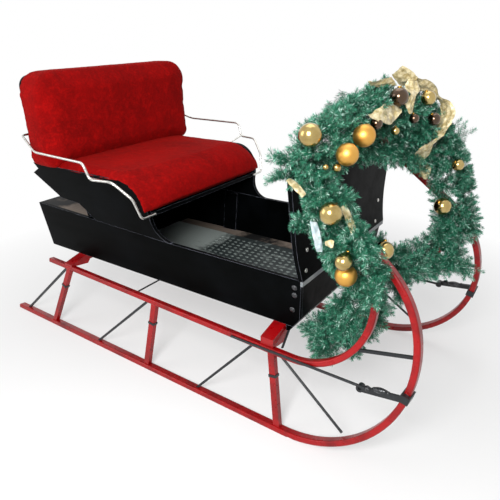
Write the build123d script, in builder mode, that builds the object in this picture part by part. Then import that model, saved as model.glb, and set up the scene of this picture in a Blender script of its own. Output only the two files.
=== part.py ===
"""Horse drawn sleigh: a two-seat cutter on steel-shod bent runners, dressed with a garland.

Millimetres. +X is forward, +Y is left, +Z is up; the origin is on the ground below the middle.
Each side frame (runner, rail, knees and irons) lies in one plane that leans in towards the body.
"""
from build123d import *
from math import asin, atan2, cos, degrees, radians, sin, sqrt, tan
import os

os.makedirs("parts", exist_ok=True)

# ---- driving sizes -------------------------------------------------------------------------

# side frames
GAUGE = 1000.0            # between the runners' middles, on the ground
LEAN = 8.2                # degrees that each side frame leans in
RUNNER_REAR = -1200.0     # back ends of the runners
RUNNER_WIDTH = 40.0
RUNNER_DEPTH = 25.0
BAR_ROUNDING = 7.0        # corner rounding of runners and rails
BOW_START = 705.0         # where the runners leave the ground
BOW_RADIUS = 495.0        # outside of the runners' bow
BOW_TURN = 100.0          # degrees
SHOULDER_RADIUS = 410.0   # outside of the bow's tighter top
SHOULDER_TURN = 41.3      # degrees
RAIL_WIDTH = 34.0
RAIL_DEPTH = 25.0
RAIL_REAR = -864.0
RAIL_REAR_HEIGHT = 388.0  # middle of the rail, along the lean
RAIL_FRONT = 710.0        # where the rail starts to curl up
RAIL_FRONT_HEIGHT = 352.0
CURL_RADIUS = 300.0       # middle of the curl
CURL_TURN = 94.0          # degrees
KNEE_LENGTH = 30.0
KNEE_WIDTH = 24.0
BAND_HEIGHT = 12.0
BAND_WALL = 2.5
IRON_SIZE = 11.0          # side irons, braces and draft rods
CLIP_LENGTH = 28.0
CLIP_WALL = 5.0
EYE_RADIUS = 14.0
EYE_THICKNESS = 14.0      # draft rod's eye
COUPLING_BOLT_RADIUS = 6.0
TIE_ROD_RADIUS = 4.0
TIE_ROD_AT = -190.0
TOP_BAR_SPARE = 25.0      # the top bars are cut to length at the dash
BRACE_TOP = (612.0, 356.0)        # x and height up the lean
BRACE_FOOT = (950.0, 104.0)
DRAFT_ROD_REAR = (426.0, 359.0)
DRAFT_EYE = (1016.0, 359.0)
CLIP_ANGLE = -13.5        # where the coupling's clip sits on the bow, from level, degrees
STRUT_ANGLE = 12.0        # degrees that the bow strut rises forward
STRUT_AT = (1080.0, 505.0)
BEAM_LENGTH = 60.0        # cross beams, fore and aft
BEAM_DEPTH = 30.0         # under the body
BEAM_SPAN = 920.0
BEAM_FOOT = 62.0          # part of each end that lies over the rail
BEAM_HAUNCH = 60.0
BEAM_END_TOP = 405.0
BEAM_END_BOTTOM = 330.0   # before it is cut to the rail's top
REAR_BEAM = -690.0
FRONT_BEAM = 600.0
PROP_RADIUS = 5.0
PROP_TOP = (636.0, 330.0, 415.0)
PROP_FOOT = (656.0, 452.0, 340.0)
SEAT_GAP = 0.3            # how far a rod stands off the bar that it is bolted to

# body
BODY_REAR = -955.0
BODY_FRONT = 716.0        # front face at its top
BODY_BOTTOM = 429.0
BODY_LINE = 667.0         # height of the body's top edge, where the sides break outwards
BODY_LINE_REAR = 694.0    # the same edge at the rear
LINE_LEVEL_FROM = 45.0    # the edge is level from here forward
BOTTOM_HALF = 360.0
LINE_HALF = 395.0
WALL = 18.0
FLOOR = 20.0
DECK = 12.0
FRONT_RAKE = 19.0         # the front panel's top stands this far ahead of its foot
FRONT_FOOT = 475.0        # height where the front turns back under the body
SILL_BOTTOM = 402.0
SILL_FRONT = 645.0
SILL_LENGTH = 15.0
MAT = 6.0
MAT_HALF = 262.0
MAT_FRONT = 680.0
MAT_CLEAR = 4.0
CLEAT_BACK = -240.0
CLEAT_LENGTH = 88.0
CLEAT_DEPTH = 10.0

# dash
DASH_REAR = 690.0         # rear face of the upright part
DASH_WALL = 18.0
DASH_SWEEP = 840.0        # radius of the foot's forward sweep, at the rear face
DASH_STRAIGHT_FROM = 840.0
DASH_TOP = 1120.0
DASH_TOP_HALF = 470.0
DASH_FOOT_HALF = 400.0
DASH_CORNER = 60.0
MOULDING_DEPTH = 10.0
MOULDING_HEIGHT = 20.0

# seat
RISER = -540.0            # front face of the seat riser
RISER_GAP = 2.0           # the riser and back board are cut this much short at each side
SEAT_TOP = 945.0          # top edge of the seat's side panels
SEAT_TOP_HALF = 455.0
SEAT_FRONT = -55.0        # front edge of the side panels
SEAT_FRONT_HEIGHT = 795.0
SEAT_NOSE = 150.0         # length of the side panels' round front corner
SEAT_SCOOP = 100.0        # radius of the hollow curve down to the body's edge
SCOOP_TOP = 770.0
SEAT_BOARD_TOP = 800.0
SEAT_REAR = (             # rear outline of a side panel: x, z, from the top edge down
    (-838.0, 945.0),
    (-815.0, 915.0),
    (-875.0, 885.0),
    (-705.0, 768.0),
    (-565.0, 760.0),
)
SEAT_FOOT = -470.0        # where the side panel's rear meets the body's edge
REAR_BOARD = 15.0

# upholstery
CUSHION_REAR = -778.0
CUSHION_LIP = 15.0        # the cushion's rolled edge above the side panels
CUSHION_LIP_HALF = 458.0
SOFT_GAP = 0.3
BACK_BOARD = 18.0
BACK_HALF = 490.0
BACK_TOP = 1385.0
BACK_THICK = 165.0
BACK_CORNER = 110.0
BACK_FOOT_CORNER = 55.0
BACK_ROLL = 45.0
BACK_BOARD_INSET = 15.0

# arm rails
ARM_RADIUS = 5.5
ARM_POST_RADIUS = 4.5
ARM_ROUTE = (             # x, y, z and bend radius of the left rail, from the back board forward
    (-788.0, 475.0, 1098.0, 0),
    (-788.0, 516.0, 1098.0, 24),
    (-640.0, 556.0, 1040.0, 110),
    (-275.0, 566.0, 1036.0, 30),
    (-252.0, 558.0, 962.0, 26),
    (-140.0, 534.0, 962.0, 60),
    (-68.0, 492.0, 885.0, 60),
    (-49.2, 468.0, 791.0, 22),
    (-49.2, 385.0, 791.0, 0),
)
ARM_POST_AT = (-247.0, 557.0, 969.0)
ARM_POST_FOOT = (-285.0, 446.0, 922.0)

# garland
GARLAND_RADIUS = 75.0
TIE_RADIUS = 2.5          # wire ties between the garland and what it hangs on
GARLAND_ROUTE = (         # x, y, z and bend radius, from the hanging tail round to the free end
    (748.0, -315.0, 400.0, 0),
    (884.0, -300.0, 482.0, 165),
    (932.0, -300.0, 621.0, 160),
    (892.0, -370.0, 752.0, 400),
    (848.0, -450.0, 879.0, 300),
    (797.0, -486.0, 1010.0, 170),
    (794.0, -480.0, 1105.0, 200),
    (806.0, -420.0, 1235.0, 115),
    (850.0, -90.0, 1275.0, 260),
    (990.0, 225.0, 1175.0, 200),
    (1062.0, 285.0, 950.0, 300),
    (1100.0, 270.0, 735.0, 150),
    (1035.0, 110.0, 635.0, 150),
    (945.0, -95.0, 660.0, 0),
)
BOUGHS = 84               # round boughs in a spiral round the garland
BOUGH_RADIUS = 48.0
BOUGH_TURN = 137.5        # degrees from one bough to the next
BOUGH_REACH_START = 124.0     # from the garland's middle to a bough's top, at the tail
BOUGH_REACH_END = 100.0       # and at the free end
BOUGH_CLEARANCE = 5.0     # a bough that would come nearer to the sleigh than this is bent away
BOUGH_HALF_WIDTH = 566.0  # as is one that would stand out further to the side
LONG_BOUGH_ROOT = 38.0    # radius of the long boughs at the garland's middle
LONG_BOUGH_TIP = 24.0
LONG_BOUGH_TIPS = (       # x, y, z of the tips that stand out furthest
    (661.0, -546.0, 1103.0),
    (666.0, -540.0, 1172.0),
    (742.0, -531.0, 959.0),
    (720.0, -457.0, 1270.0),
    (747.0, -391.0, 1310.0),
    (789.0, -276.0, 1345.0),
    (814.0, -187.0, 1358.0),
    (1082.0, 262.0, 1175.0),
    (1182.0, 289.0, 811.0),
    (1188.0, 259.0, 727.0),
    (1184.0, 195.0, 634.0),
    (1158.0, 145.0, 600.0),
    (1099.0, 97.0, 580.0),
    (921.0, -419.0, 1042.0),
    (878.0, -69.0, 780.0),
    (958.0, 48.0, 730.0),
    (919.0, 198.0, 1038.0),
    (674.0, -307.0, 423.0),
    (770.0, -340.0, 300.0),
    (859.0, -338.0, 340.0),
    (934.0, -325.0, 366.0),
    (792.0, -303.0, 553.0),
    (999.0, -307.0, 459.0),
    (1023.0, -286.0, 520.0),
    (1024.0, -127.0, 537.0),
    (779.0, -500.0, 774.0),
    (996.0, -437.0, 922.0),
    (1012.0, -437.0, 897.0),
    (1003.0, -437.0, 845.0),
    (955.0, -440.0, 935.0),
)

BALL_GAP = 0.3
BALLS = (                 # node, x, y, z and radius, each from what it hangs on outward
    ("balls_bright", 1004.0, -27.0, 1312.0, 25.6),
    ("balls_bright", 1060.0, 145.0, 870.0, 35.3),
    ("balls_bright", 1089.0, 177.0, 1038.0, 24.0),
    ("balls_bright", 940.0, -276.0, 810.0, 13.7),
    ("balls_bright", 990.0, -279.0, 817.0, 33.7),
    ("balls_bright", 863.0, -519.0, 1155.0, 9.8),
    ("balls_bright", 886.0, -486.0, 1148.0, 13.9),
    ("balls_bright", 947.0, -170.0, 1214.0, 14.8),
    ("balls_satin", 945.0, -502.0, 799.0, 37.0),
    ("ball_drop", 947.0, -538.0, 867.0, 29.5),
    ("balls_bronze", 923.0, -285.0, 1255.0, 20.8),
    ("balls_satin", 925.0, -383.0, 1232.0, 35.9),
    ("balls_satin", 914.0, -479.0, 1191.0, 34.8),
    ("balls_bronze", 940.0, -142.0, 1324.0, 32.2),
    ("balls_bronze", 1017.0, 28.0, 1232.0, 23.3),
    ("balls_bronze", 983.0, -94.0, 1247.0, 17.4),
)

SIDES = (("left", 1), ("right", -1))
QUARTER = 90              # degrees

# knees, from the rear forward: name, x under the rail, x on the runner
KNEES = (
    ("rear", -699.0, -854.0),
    ("middle", -48.0, -97.0),
    ("front", 620.0, 675.0),
)
BAND_SHARE = 0.68         # how far up each knee its band sits

# side irons, from the rear forward: x under the rail, x on the runner
SIDE_IRONS = (
    (-726.0, -1117.0),
    (-97.0, -467.0),
    (523.0, 234.0),
)

# ---- side frame geometry -------------------------------------------------------------------

lean = radians(LEAN)
runner_middle = RUNNER_DEPTH / 2 - RUNNER_WIDTH / 2 * sin(lean)
runner_top = runner_middle + RUNNER_DEPTH / 2
bow_centre = (BOW_START, runner_middle + BOW_RADIUS - RUNNER_DEPTH / 2)
bow_middle = BOW_RADIUS - RUNNER_DEPTH / 2
shoulder_middle = SHOULDER_RADIUS - RUNNER_DEPTH / 2
bow_end = BOW_TURN - QUARTER
shoulder_centre = (
    bow_centre[0] + (bow_middle - shoulder_middle) * cos(radians(bow_end)),
    bow_centre[1] + (bow_middle - shoulder_middle) * sin(radians(bow_end)),
)
shoulder_end = radians(bow_end + SHOULDER_TURN)
top_bar_start = (
    shoulder_centre[0] + shoulder_middle * cos(shoulder_end),
    shoulder_centre[1] + shoulder_middle * sin(shoulder_end),
)
top_bar_run = (-sin(shoulder_end), cos(shoulder_end))
dash_front = DASH_REAR + DASH_WALL
top_bar_length = (top_bar_start[0] - dash_front) / -top_bar_run[0] + TOP_BAR_SPARE
top_bar_end = (
    top_bar_start[0] + top_bar_run[0] * top_bar_length,
    top_bar_start[1] + top_bar_run[1] * top_bar_length,
)

rail_slope = (RAIL_FRONT_HEIGHT - RAIL_REAR_HEIGHT) / (RAIL_FRONT - RAIL_REAR)
rail_angle = degrees(atan2(rail_slope, 1))
curl_centre = (
    RAIL_FRONT - CURL_RADIUS * sin(radians(rail_angle)),
    RAIL_FRONT_HEIGHT + CURL_RADIUS * cos(radians(rail_angle)),
)
curl_end = radians(rail_angle - 90 + CURL_TURN)
curl_top = (
    curl_centre[0] + CURL_RADIUS * cos(curl_end),
    curl_centre[1] + CURL_RADIUS * sin(curl_end),
)
curl_run = (-sin(curl_end), cos(curl_end))
curl_rise = top_bar_start[1] - curl_top[1] + RUNNER_DEPTH
curl_tip = (curl_top[0] + curl_run[0] * curl_rise, curl_top[1] + curl_run[1] * curl_rise)
strut_middle = STRUT_AT
rail_side = RAIL_WIDTH / 2 + IRON_SIZE / 2 + SEAT_GAP
coupling_side = rail_side + EYE_THICKNESS / 2 + IRON_SIZE / 2 + SEAT_GAP
clip_inner = RUNNER_WIDTH / 2 + SEAT_GAP + CLIP_WALL
clip_outer = coupling_side + IRON_SIZE / 2


def rail_height(x):
    """Middle of the straight rail at x, along the lean."""
    return RAIL_FRONT_HEIGHT + rail_slope * (x - RAIL_FRONT)


def rail_under(x):
    """Underside of the straight rail at x, along the lean."""
    return rail_height(x) - RAIL_DEPTH / 2 / cos(radians(rail_angle))


def side_plane(sign):
    """Plane of one side frame: local x runs forward and local y up the lean."""
    return Plane(
        origin=(0, sign * GAUGE / 2, 0),
        x_dir=(1, 0, 0),
        z_dir=(0, -cos(lean), -sign * sin(lean)),
    )


def frame_point(sign, x, up, inward=0):
    """A point of a side frame, given along the frame, up its lean and in towards the body."""
    return side_plane(sign).from_local_coords((x, up, inward * sign))


def plane_between(start, end, x_dir):
    """A plane at start that faces end."""
    return Plane(origin=start, x_dir=x_dir, z_dir=end - start)


finished = {}


def finish(name, label):
    """Name a finished piece, write it and keep it for what is set against it later."""
    name.part.label = label
    export_step(name.part, f"parts/{label}.step")
    finished[label] = name.part


def lateral(sign):
    """Unit vector across a side frame, from the runner in towards the body."""
    return side_plane(sign).z_dir * sign


def under_top_bar(sign):
    """The top bar's underside, facing down."""
    start = frame_point(sign, *top_bar_start)
    run = frame_point(sign, *top_bar_end) - start
    down = run.cross(side_plane(sign).z_dir).normalized()
    down = down if down.Z < 0 else -down
    return Plane(origin=start + down * (RUNNER_DEPTH / 2), x_dir=run, z_dir=down)


def over_rail(sign):
    """The straight rail's top face, facing up."""
    start = frame_point(sign, RAIL_REAR, RAIL_REAR_HEIGHT)
    run = frame_point(sign, RAIL_FRONT, RAIL_FRONT_HEIGHT) - start
    up = run.cross(side_plane(sign).z_dir).normalized()
    up = up if up.Z > 0 else -up
    return Plane(origin=start + up * (RAIL_DEPTH / 2), x_dir=run, z_dir=up)


def inside_rail(sign):
    """The rail's inner face, facing the middle of the sleigh."""
    inward = lateral(sign)
    return Plane(origin=frame_point(sign, 0, rail_height(0)) + inward * (RAIL_WIDTH / 2),
                 x_dir=(1, 0, 0), z_dir=inward)


# ---- body geometry -------------------------------------------------------------------------

body_flare = atan2(LINE_HALF - BOTTOM_HALF, BODY_LINE - BODY_BOTTOM)
seat_flare = atan2(SEAT_TOP_HALF - LINE_HALF, SEAT_TOP - BODY_LINE)
line_slope = (BODY_LINE_REAR - BODY_LINE) / (LINE_LEVEL_FROM - BODY_REAR)
floor_top = BODY_BOTTOM + FLOOR
seat_board_bottom = SEAT_BOARD_TOP - WALL
front_under_slope = (FRONT_FOOT - SILL_BOTTOM) / (BODY_FRONT - FRONT_RAKE - SILL_FRONT)


def flare_plane(sign, flare, inset=0):
    """A side wall's sloping plane, facing out, moved in by inset."""
    outward = Vector(0, sign * cos(flare), -sin(flare))
    return Plane(origin=Vector(0, sign * LINE_HALF, BODY_LINE) - outward * inset,
                 x_dir=(1, 0, 0), z_dir=outward)


def line_height(x):
    """Height of the body's top edge at x."""
    return BODY_LINE + line_slope * max(0, LINE_LEVEL_FROM - x)


def front_under(z):
    """Where the front turns back under the body, at height z."""
    return SILL_FRONT + (z - SILL_BOTTOM) / front_under_slope


def inner_half(z):
    """Half the clear width between the walls at height z."""
    if z <= BODY_LINE:
        return LINE_HALF + (z - BODY_LINE) * tan(body_flare) - WALL / cos(body_flare)
    return LINE_HALF + (z - BODY_LINE) * tan(seat_flare) - WALL / cos(seat_flare)


nose_at = SEAT_FRONT - SEAT_NOSE
nose_rise = SEAT_TOP - SEAT_FRONT_HEIGHT
cushion_foot = SEAT_BOARD_TOP + SOFT_GAP
nose_low = degrees(asin(max(0, cushion_foot - SEAT_FRONT_HEIGHT) / (nose_rise + SOFT_GAP)))


def nose_arc(thickness):
    """The front curve of the seat side or the cushion, this far outside the panel's, over the seat board."""
    return EllipticalCenterArc((nose_at, SEAT_FRONT_HEIGHT), SEAT_NOSE + thickness, nose_rise + thickness,
                               start_angle=nose_low, arc_size=QUARTER - nose_low)


def nose_front(thickness):
    """From the lower end of the front curve, this far outside the panel's, straight down to the seat board."""
    curve_end = (nose_at + (SEAT_NOSE + thickness) * cos(radians(nose_low)),
                 SEAT_FRONT_HEIGHT + (nose_rise + thickness) * sin(radians(nose_low)))
    if SEAT_FRONT_HEIGHT > cushion_foot:
        return [curve_end, (curve_end[0], cushion_foot)]
    return [curve_end]


# ---- side frames ---------------------------------------------------------------------------

runners = {}
for side, sign in SIDES:
    frame = side_plane(sign)
    across = lateral(sign)

    # runner: ground bar, bow, shoulder and the top bar that runs back to the dash
    with BuildPart() as runner:
        with BuildLine(frame):
            Line((RUNNER_REAR, runner_middle), (BOW_START, runner_middle))
            CenterArc(bow_centre, bow_middle, -90, BOW_TURN)
            CenterArc(shoulder_centre, shoulder_middle, bow_end, SHOULDER_TURN)
            Line(top_bar_start, top_bar_end)
        with BuildSketch(plane_between(frame_point(sign, RUNNER_REAR, runner_middle),
                                       frame_point(sign, BOW_START, runner_middle), across)):
            RectangleRounded(RUNNER_WIDTH, RUNNER_DEPTH, BAR_ROUNDING)
        sweep()
        split(bisect_by=Plane.XY, keep=Keep.TOP)
        with Locations((dash_front, 0, DASH_STRAIGHT_FROM)):
            Box(TOP_BAR_SPARE * 4, GAUGE, DASH_TOP,
                align=(Align.MAX, Align.CENTER, Align.MIN), mode=Mode.SUBTRACT)
    finish(runner, f"runner_{side}")
    runners[side] = runner

    # rail: straight under the body, then curling up to the underside of the top bar
    with BuildPart() as rail:
        with BuildLine(frame):
            Line((RAIL_REAR, RAIL_REAR_HEIGHT), (RAIL_FRONT, RAIL_FRONT_HEIGHT))
            CenterArc(curl_centre, CURL_RADIUS, rail_angle - 90, CURL_TURN)
            Line(curl_top, curl_tip)
        with BuildSketch(plane_between(frame_point(sign, RAIL_REAR, RAIL_REAR_HEIGHT),
                                       frame_point(sign, RAIL_FRONT, RAIL_FRONT_HEIGHT), across)):
            RectangleRounded(RAIL_WIDTH, RAIL_DEPTH, BAR_ROUNDING)
        sweep()
        split(bisect_by=under_top_bar(sign), keep=Keep.TOP)
    finish(rail, f"rail_{side}")

    # knees stand on the runner and carry the rail
    for name, x_top, x_foot in KNEES:
        half = KNEE_LENGTH / 2
        with BuildPart() as knee:
            with BuildSketch(frame):
                Polygon(
                    (x_foot - half, runner_top),
                    (x_foot + half, runner_top),
                    (x_top + half, rail_under(x_top + half)),
                    (x_top - half, rail_under(x_top - half)),
                    align=None,
                )
            extrude(amount=KNEE_WIDTH / 2, both=True)
        finish(knee, f"knee_{name}_{side}")

    # an iron band round each knee
    with BuildPart() as knee_bands:
        for name, x_top, x_foot in KNEES:
            foot = frame_point(sign, x_foot, runner_top)
            top = frame_point(sign, x_top, rail_under(x_top))
            knee_length = KNEE_LENGTH * cos(atan2(x_top - x_foot, rail_under(x_top) - runner_top))
            band_at = plane_between(foot + (top - foot) * BAND_SHARE, top, across)
            with BuildSketch(band_at):
                Rectangle(KNEE_WIDTH + 2 * BAND_WALL, knee_length + 2 * BAND_WALL)
                Rectangle(KNEE_WIDTH + 2 * SEAT_GAP, knee_length + 2 * SEAT_GAP,
                          mode=Mode.SUBTRACT)
            extrude(amount=BAND_HEIGHT)
    finish(knee_bands, f"knee_bands_{side}")

    # sloping irons between runner and rail
    with BuildPart() as side_irons:
        with BuildSketch(frame):
            for x_top, x_foot in SIDE_IRONS:
                half = IRON_SIZE / 2 / cos(atan2(x_top - x_foot, rail_under(x_top) - runner_top))
                Polygon(
                    (x_foot - half, runner_top),
                    (x_foot + half, runner_top),
                    (x_top + half, rail_under(x_top + half)),
                    (x_top - half, rail_under(x_top - half)),
                    align=None,
                )
        extrude(amount=IRON_SIZE / 2, both=True)
    finish(side_irons, f"side_irons_{side}")

    # long brace from the rail's inner face down to the bow's inner face
    with BuildPart() as front_brace:
        start = frame_point(sign, *BRACE_TOP, inward=rail_side)
        end = frame_point(sign, *BRACE_FOOT, inward=rail_side)
        with BuildSketch(plane_between(start, end, across)):
            Circle(IRON_SIZE / 2)
        extrude(amount=(end - start).length)
    finish(front_brace, f"front_brace_{side}")

    # draft rod on the rail's outer face, ending in an eye
    with BuildPart() as draft_rod:
        start = frame_point(sign, *DRAFT_ROD_REAR, inward=-rail_side)
        end = frame_point(sign, *DRAFT_EYE, inward=-rail_side)
        with BuildSketch(plane_between(start, end, across)):
            Circle(IRON_SIZE / 2)
        extrude(amount=(end - start).length)
        with BuildSketch(plane_between(end, end + across, frame.x_dir)):
            Circle(EYE_RADIUS)
        extrude(amount=EYE_THICKNESS / 2, both=True)
        with BuildSketch(plane_between(end, end + across, frame.x_dir)):
            Circle(COUPLING_BOLT_RADIUS)
        extrude(amount=EYE_THICKNESS, both=True, mode=Mode.SUBTRACT)
    finish(draft_rod, f"draft_rod_{side}")

    # shaft coupling: a bar from the eye to a clip that is wrapped round the bow
    clip_angle = radians(CLIP_ANGLE)
    clip_middle = (
        bow_centre[0] + bow_middle * cos(clip_angle),
        bow_centre[1] + bow_middle * sin(clip_angle),
    )
    with BuildPart() as shaft_coupling:
        start = frame_point(sign, *DRAFT_EYE, inward=-coupling_side)
        end = frame_point(sign, *clip_middle, inward=-coupling_side)
        along = (end - start).normalized()
        with BuildSketch(plane_between(start, end, across)):
            Rectangle(IRON_SIZE, 2 * IRON_SIZE)
        extrude(amount=(end - start).length)
        with BuildSketch(plane_between(start, start + across, frame.x_dir)):
            Circle(EYE_RADIUS)
        extrude(amount=IRON_SIZE / 2, both=True)
        clip_at = frame_point(sign, *clip_middle)
        clip_run = frame_point(sign, clip_middle[0] - sin(clip_angle),
                               clip_middle[1] + cos(clip_angle))
        with BuildSketch(plane_between(clip_at, clip_run, across)):
            with Locations(((clip_inner - clip_outer) / 2, 0)):
                Rectangle(clip_inner + clip_outer, RUNNER_DEPTH + 2 * CLIP_WALL)
        extrude(amount=CLIP_LENGTH / 2, both=True)
        with BuildSketch(plane_between(clip_at, clip_run, across)):
            Rectangle(RUNNER_WIDTH + 2 * SEAT_GAP, RUNNER_DEPTH + 2 * SEAT_GAP)
        extrude(amount=CLIP_LENGTH, both=True, mode=Mode.SUBTRACT)
        with BuildSketch(plane_between(start, start + across, frame.x_dir)):
            Circle(COUPLING_BOLT_RADIUS)
        extrude(amount=IRON_SIZE, both=True, mode=Mode.SUBTRACT)
    finish(shaft_coupling, f"shaft_coupling_{side}")

    # strut between the rail's curl and the bow
    with BuildPart() as bow_strut:
        with BuildSketch(frame):
            with Locations((strut_middle[0], strut_middle[1])):
                Rectangle(BOW_RADIUS, IRON_SIZE, rotation=STRUT_ANGLE)
            with Locations(bow_centre):
                Circle(BOW_RADIUS - RUNNER_DEPTH, mode=Mode.INTERSECT)
            with Locations(curl_centre):
                Circle(CURL_RADIUS + RAIL_DEPTH / 2, mode=Mode.SUBTRACT)
        extrude(amount=IRON_SIZE / 2, both=True)
    finish(bow_strut, f"bow_strut_{side}")

# ---- cross members -------------------------------------------------------------------------

for name, x in (("rear", REAR_BEAM), ("front", FRONT_BEAM)):
    with BuildPart() as cross_beam:
        with BuildSketch(Plane.YZ.offset(x - BEAM_LENGTH / 2)):
            with BuildLine():
                Polyline(
                    (-BEAM_SPAN / 2, BEAM_END_TOP),
                    (-BOTTOM_HALF, BODY_BOTTOM),
                    (BOTTOM_HALF, BODY_BOTTOM),
                    (BEAM_SPAN / 2, BEAM_END_TOP),
                    (BEAM_SPAN / 2, BEAM_END_BOTTOM),
                    (BEAM_SPAN / 2 - BEAM_FOOT, BEAM_END_BOTTOM),
                    (BEAM_SPAN / 2 - BEAM_FOOT - BEAM_HAUNCH, BODY_BOTTOM - BEAM_DEPTH),
                    (-BEAM_SPAN / 2 + BEAM_FOOT + BEAM_HAUNCH, BODY_BOTTOM - BEAM_DEPTH),
                    (-BEAM_SPAN / 2 + BEAM_FOOT, BEAM_END_BOTTOM),
                    (-BEAM_SPAN / 2, BEAM_END_BOTTOM),
                    close=True,
                )
            make_face()
        extrude(amount=BEAM_LENGTH)
        for side, sign in SIDES:
            split(bisect_by=over_rail(sign), keep=Keep.TOP)
    finish(cross_beam, f"cross_beam_{name}")

with BuildPart() as tie_rod:
    with Locations((TIE_ROD_AT, 0, rail_height(TIE_ROD_AT) * cos(lean))):
        Cylinder(TIE_ROD_RADIUS, GAUGE, rotation=(90, 0, 0))
    for side, sign in SIDES:
        split(bisect_by=inside_rail(sign), keep=Keep.TOP)
finish(tie_rod, "tie_rod")

# short props from the front sill out to the rails
with BuildPart() as front_props:
    for side, sign in SIDES:
        start = Vector(PROP_TOP[0], sign * PROP_TOP[1], PROP_TOP[2])
        end = Vector(PROP_FOOT[0], sign * PROP_FOOT[1], PROP_FOOT[2])
        with BuildSketch(Plane(origin=start, z_dir=end - start)):
            Circle(PROP_RADIUS)
        extrude(amount=(end - start).length)
    for side, sign in SIDES:
        split(bisect_by=over_rail(sign), keep=Keep.TOP)
    split(bisect_by=Plane.XY.offset(SILL_BOTTOM), keep=Keep.BOTTOM)
finish(front_props, "front_props")

# ---- body ----------------------------------------------------------------------------------

for side, sign in SIDES:
    # body side: straight below, cut back under its front end
    with BuildPart() as body_side:
        with BuildSketch(Plane.XZ):
            with BuildLine():
                Polyline(
                    (BODY_REAR, BODY_BOTTOM),
                    (front_under(BODY_BOTTOM), BODY_BOTTOM),
                    (BODY_FRONT - FRONT_RAKE, FRONT_FOOT),
                    (BODY_FRONT, BODY_LINE),
                    (LINE_LEVEL_FROM, BODY_LINE),
                    (BODY_REAR, BODY_LINE_REAR),
                    close=True,
                )
            make_face()
        extrude(amount=GAUGE / 2, both=True)
        split(bisect_by=flare_plane(sign, body_flare), keep=Keep.BOTTOM)
        split(bisect_by=flare_plane(sign, body_flare, WALL), keep=Keep.TOP)
    finish(body_side, f"body_side_{side}")

    # seat side: scooped down to the body's edge in front, undercut behind
    with BuildPart() as seat_side:
        with BuildSketch(Plane.XZ):
            with BuildLine():
                Polyline(
                    *SEAT_REAR,
                    (SEAT_FOOT, line_height(SEAT_FOOT)),
                    (LINE_LEVEL_FROM, BODY_LINE),
                )
                CenterArc((LINE_LEVEL_FROM, BODY_LINE + SEAT_SCOOP), SEAT_SCOOP, 180, 90)
                Line((SEAT_FRONT, BODY_LINE + SEAT_SCOOP), (SEAT_FRONT, SEAT_FRONT_HEIGHT))
                EllipticalCenterArc((nose_at, SEAT_FRONT_HEIGHT), SEAT_NOSE, nose_rise,
                                    start_angle=0, arc_size=QUARTER)
                Line((nose_at, SEAT_TOP), SEAT_REAR[0])
            make_face()
        extrude(amount=GAUGE / 2, both=True)
        split(bisect_by=flare_plane(sign, seat_flare), keep=Keep.BOTTOM)
        split(bisect_by=flare_plane(sign, seat_flare, WALL), keep=Keep.TOP)
    finish(seat_side, f"seat_side_{side}")

with BuildPart() as floor:
    with BuildSketch(Plane.XZ):
        with BuildLine():
            Polyline(
                (BODY_REAR, BODY_BOTTOM),
                (front_under(BODY_BOTTOM), BODY_BOTTOM),
                (front_under(floor_top), floor_top),
                (BODY_REAR, floor_top),
                close=True,
            )
        make_face()
    extrude(amount=GAUGE / 2, both=True)
    for side, sign in SIDES:
        split(bisect_by=flare_plane(sign, body_flare, WALL), keep=Keep.BOTTOM)
finish(floor, "floor")

with BuildPart() as front_sill:
    with BuildSketch(Plane.XZ):
        with BuildLine():
            Polyline(
                (SILL_FRONT - SILL_LENGTH, SILL_BOTTOM),
                (SILL_FRONT, SILL_BOTTOM),
                (front_under(BODY_BOTTOM), BODY_BOTTOM),
                (SILL_FRONT - SILL_LENGTH, BODY_BOTTOM),
                close=True,
            )
        make_face()
    extrude(amount=BOTTOM_HALF, both=True)
finish(front_sill, "front_sill")

with BuildPart() as front_panel:
    with BuildSketch(Plane.XZ):
        with BuildLine():
            Polyline(
                (BODY_FRONT - WALL, BODY_LINE),
                (BODY_FRONT, BODY_LINE),
                (BODY_FRONT - FRONT_RAKE, FRONT_FOOT),
                (front_under(floor_top), floor_top),
                close=True,
            )
        make_face()
    extrude(amount=GAUGE / 2, both=True)
    for side, sign in SIDES:
        split(bisect_by=flare_plane(sign, body_flare, WALL), keep=Keep.BOTTOM)
finish(front_panel, "front_panel")

with BuildPart() as rear_panel:
    with BuildSketch(Plane.XZ):
        with BuildLine():
            Polyline(
                (BODY_REAR, floor_top),
                (BODY_REAR + WALL, floor_top),
                (BODY_REAR + WALL, line_height(BODY_REAR + WALL) - DECK),
                (BODY_REAR, line_height(BODY_REAR) - DECK),
                close=True,
            )
        make_face()
    extrude(amount=GAUGE / 2, both=True)
    for side, sign in SIDES:
        split(bisect_by=flare_plane(sign, body_flare, WALL), keep=Keep.BOTTOM)
finish(rear_panel, "rear_panel")

with BuildPart() as rear_deck:
    with BuildSketch(Plane.XZ):
        with BuildLine():
            Polyline(
                (BODY_REAR, line_height(BODY_REAR) - DECK),
                (RISER - WALL, line_height(RISER - WALL) - DECK),
                (RISER - WALL, line_height(RISER - WALL)),
                (BODY_REAR, line_height(BODY_REAR)),
                close=True,
            )
        make_face()
    extrude(amount=GAUGE / 2, both=True)
    for side, sign in SIDES:
        split(bisect_by=flare_plane(sign, body_flare, WALL), keep=Keep.BOTTOM)
finish(rear_deck, "rear_deck")

with BuildPart() as seat_riser:
    with BuildSketch(Plane.YZ.offset(RISER - WALL)):
        with BuildLine():
            riser_half = [(inner_half(z) - RISER_GAP, z)
                          for z in (floor_top, BODY_LINE, seat_board_bottom)]
            Polyline(
                *riser_half,
                *[(-y, z) for y, z in reversed(riser_half)],
                close=True,
            )
        make_face()
    extrude(amount=WALL)
finish(seat_riser, "seat_riser")

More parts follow.
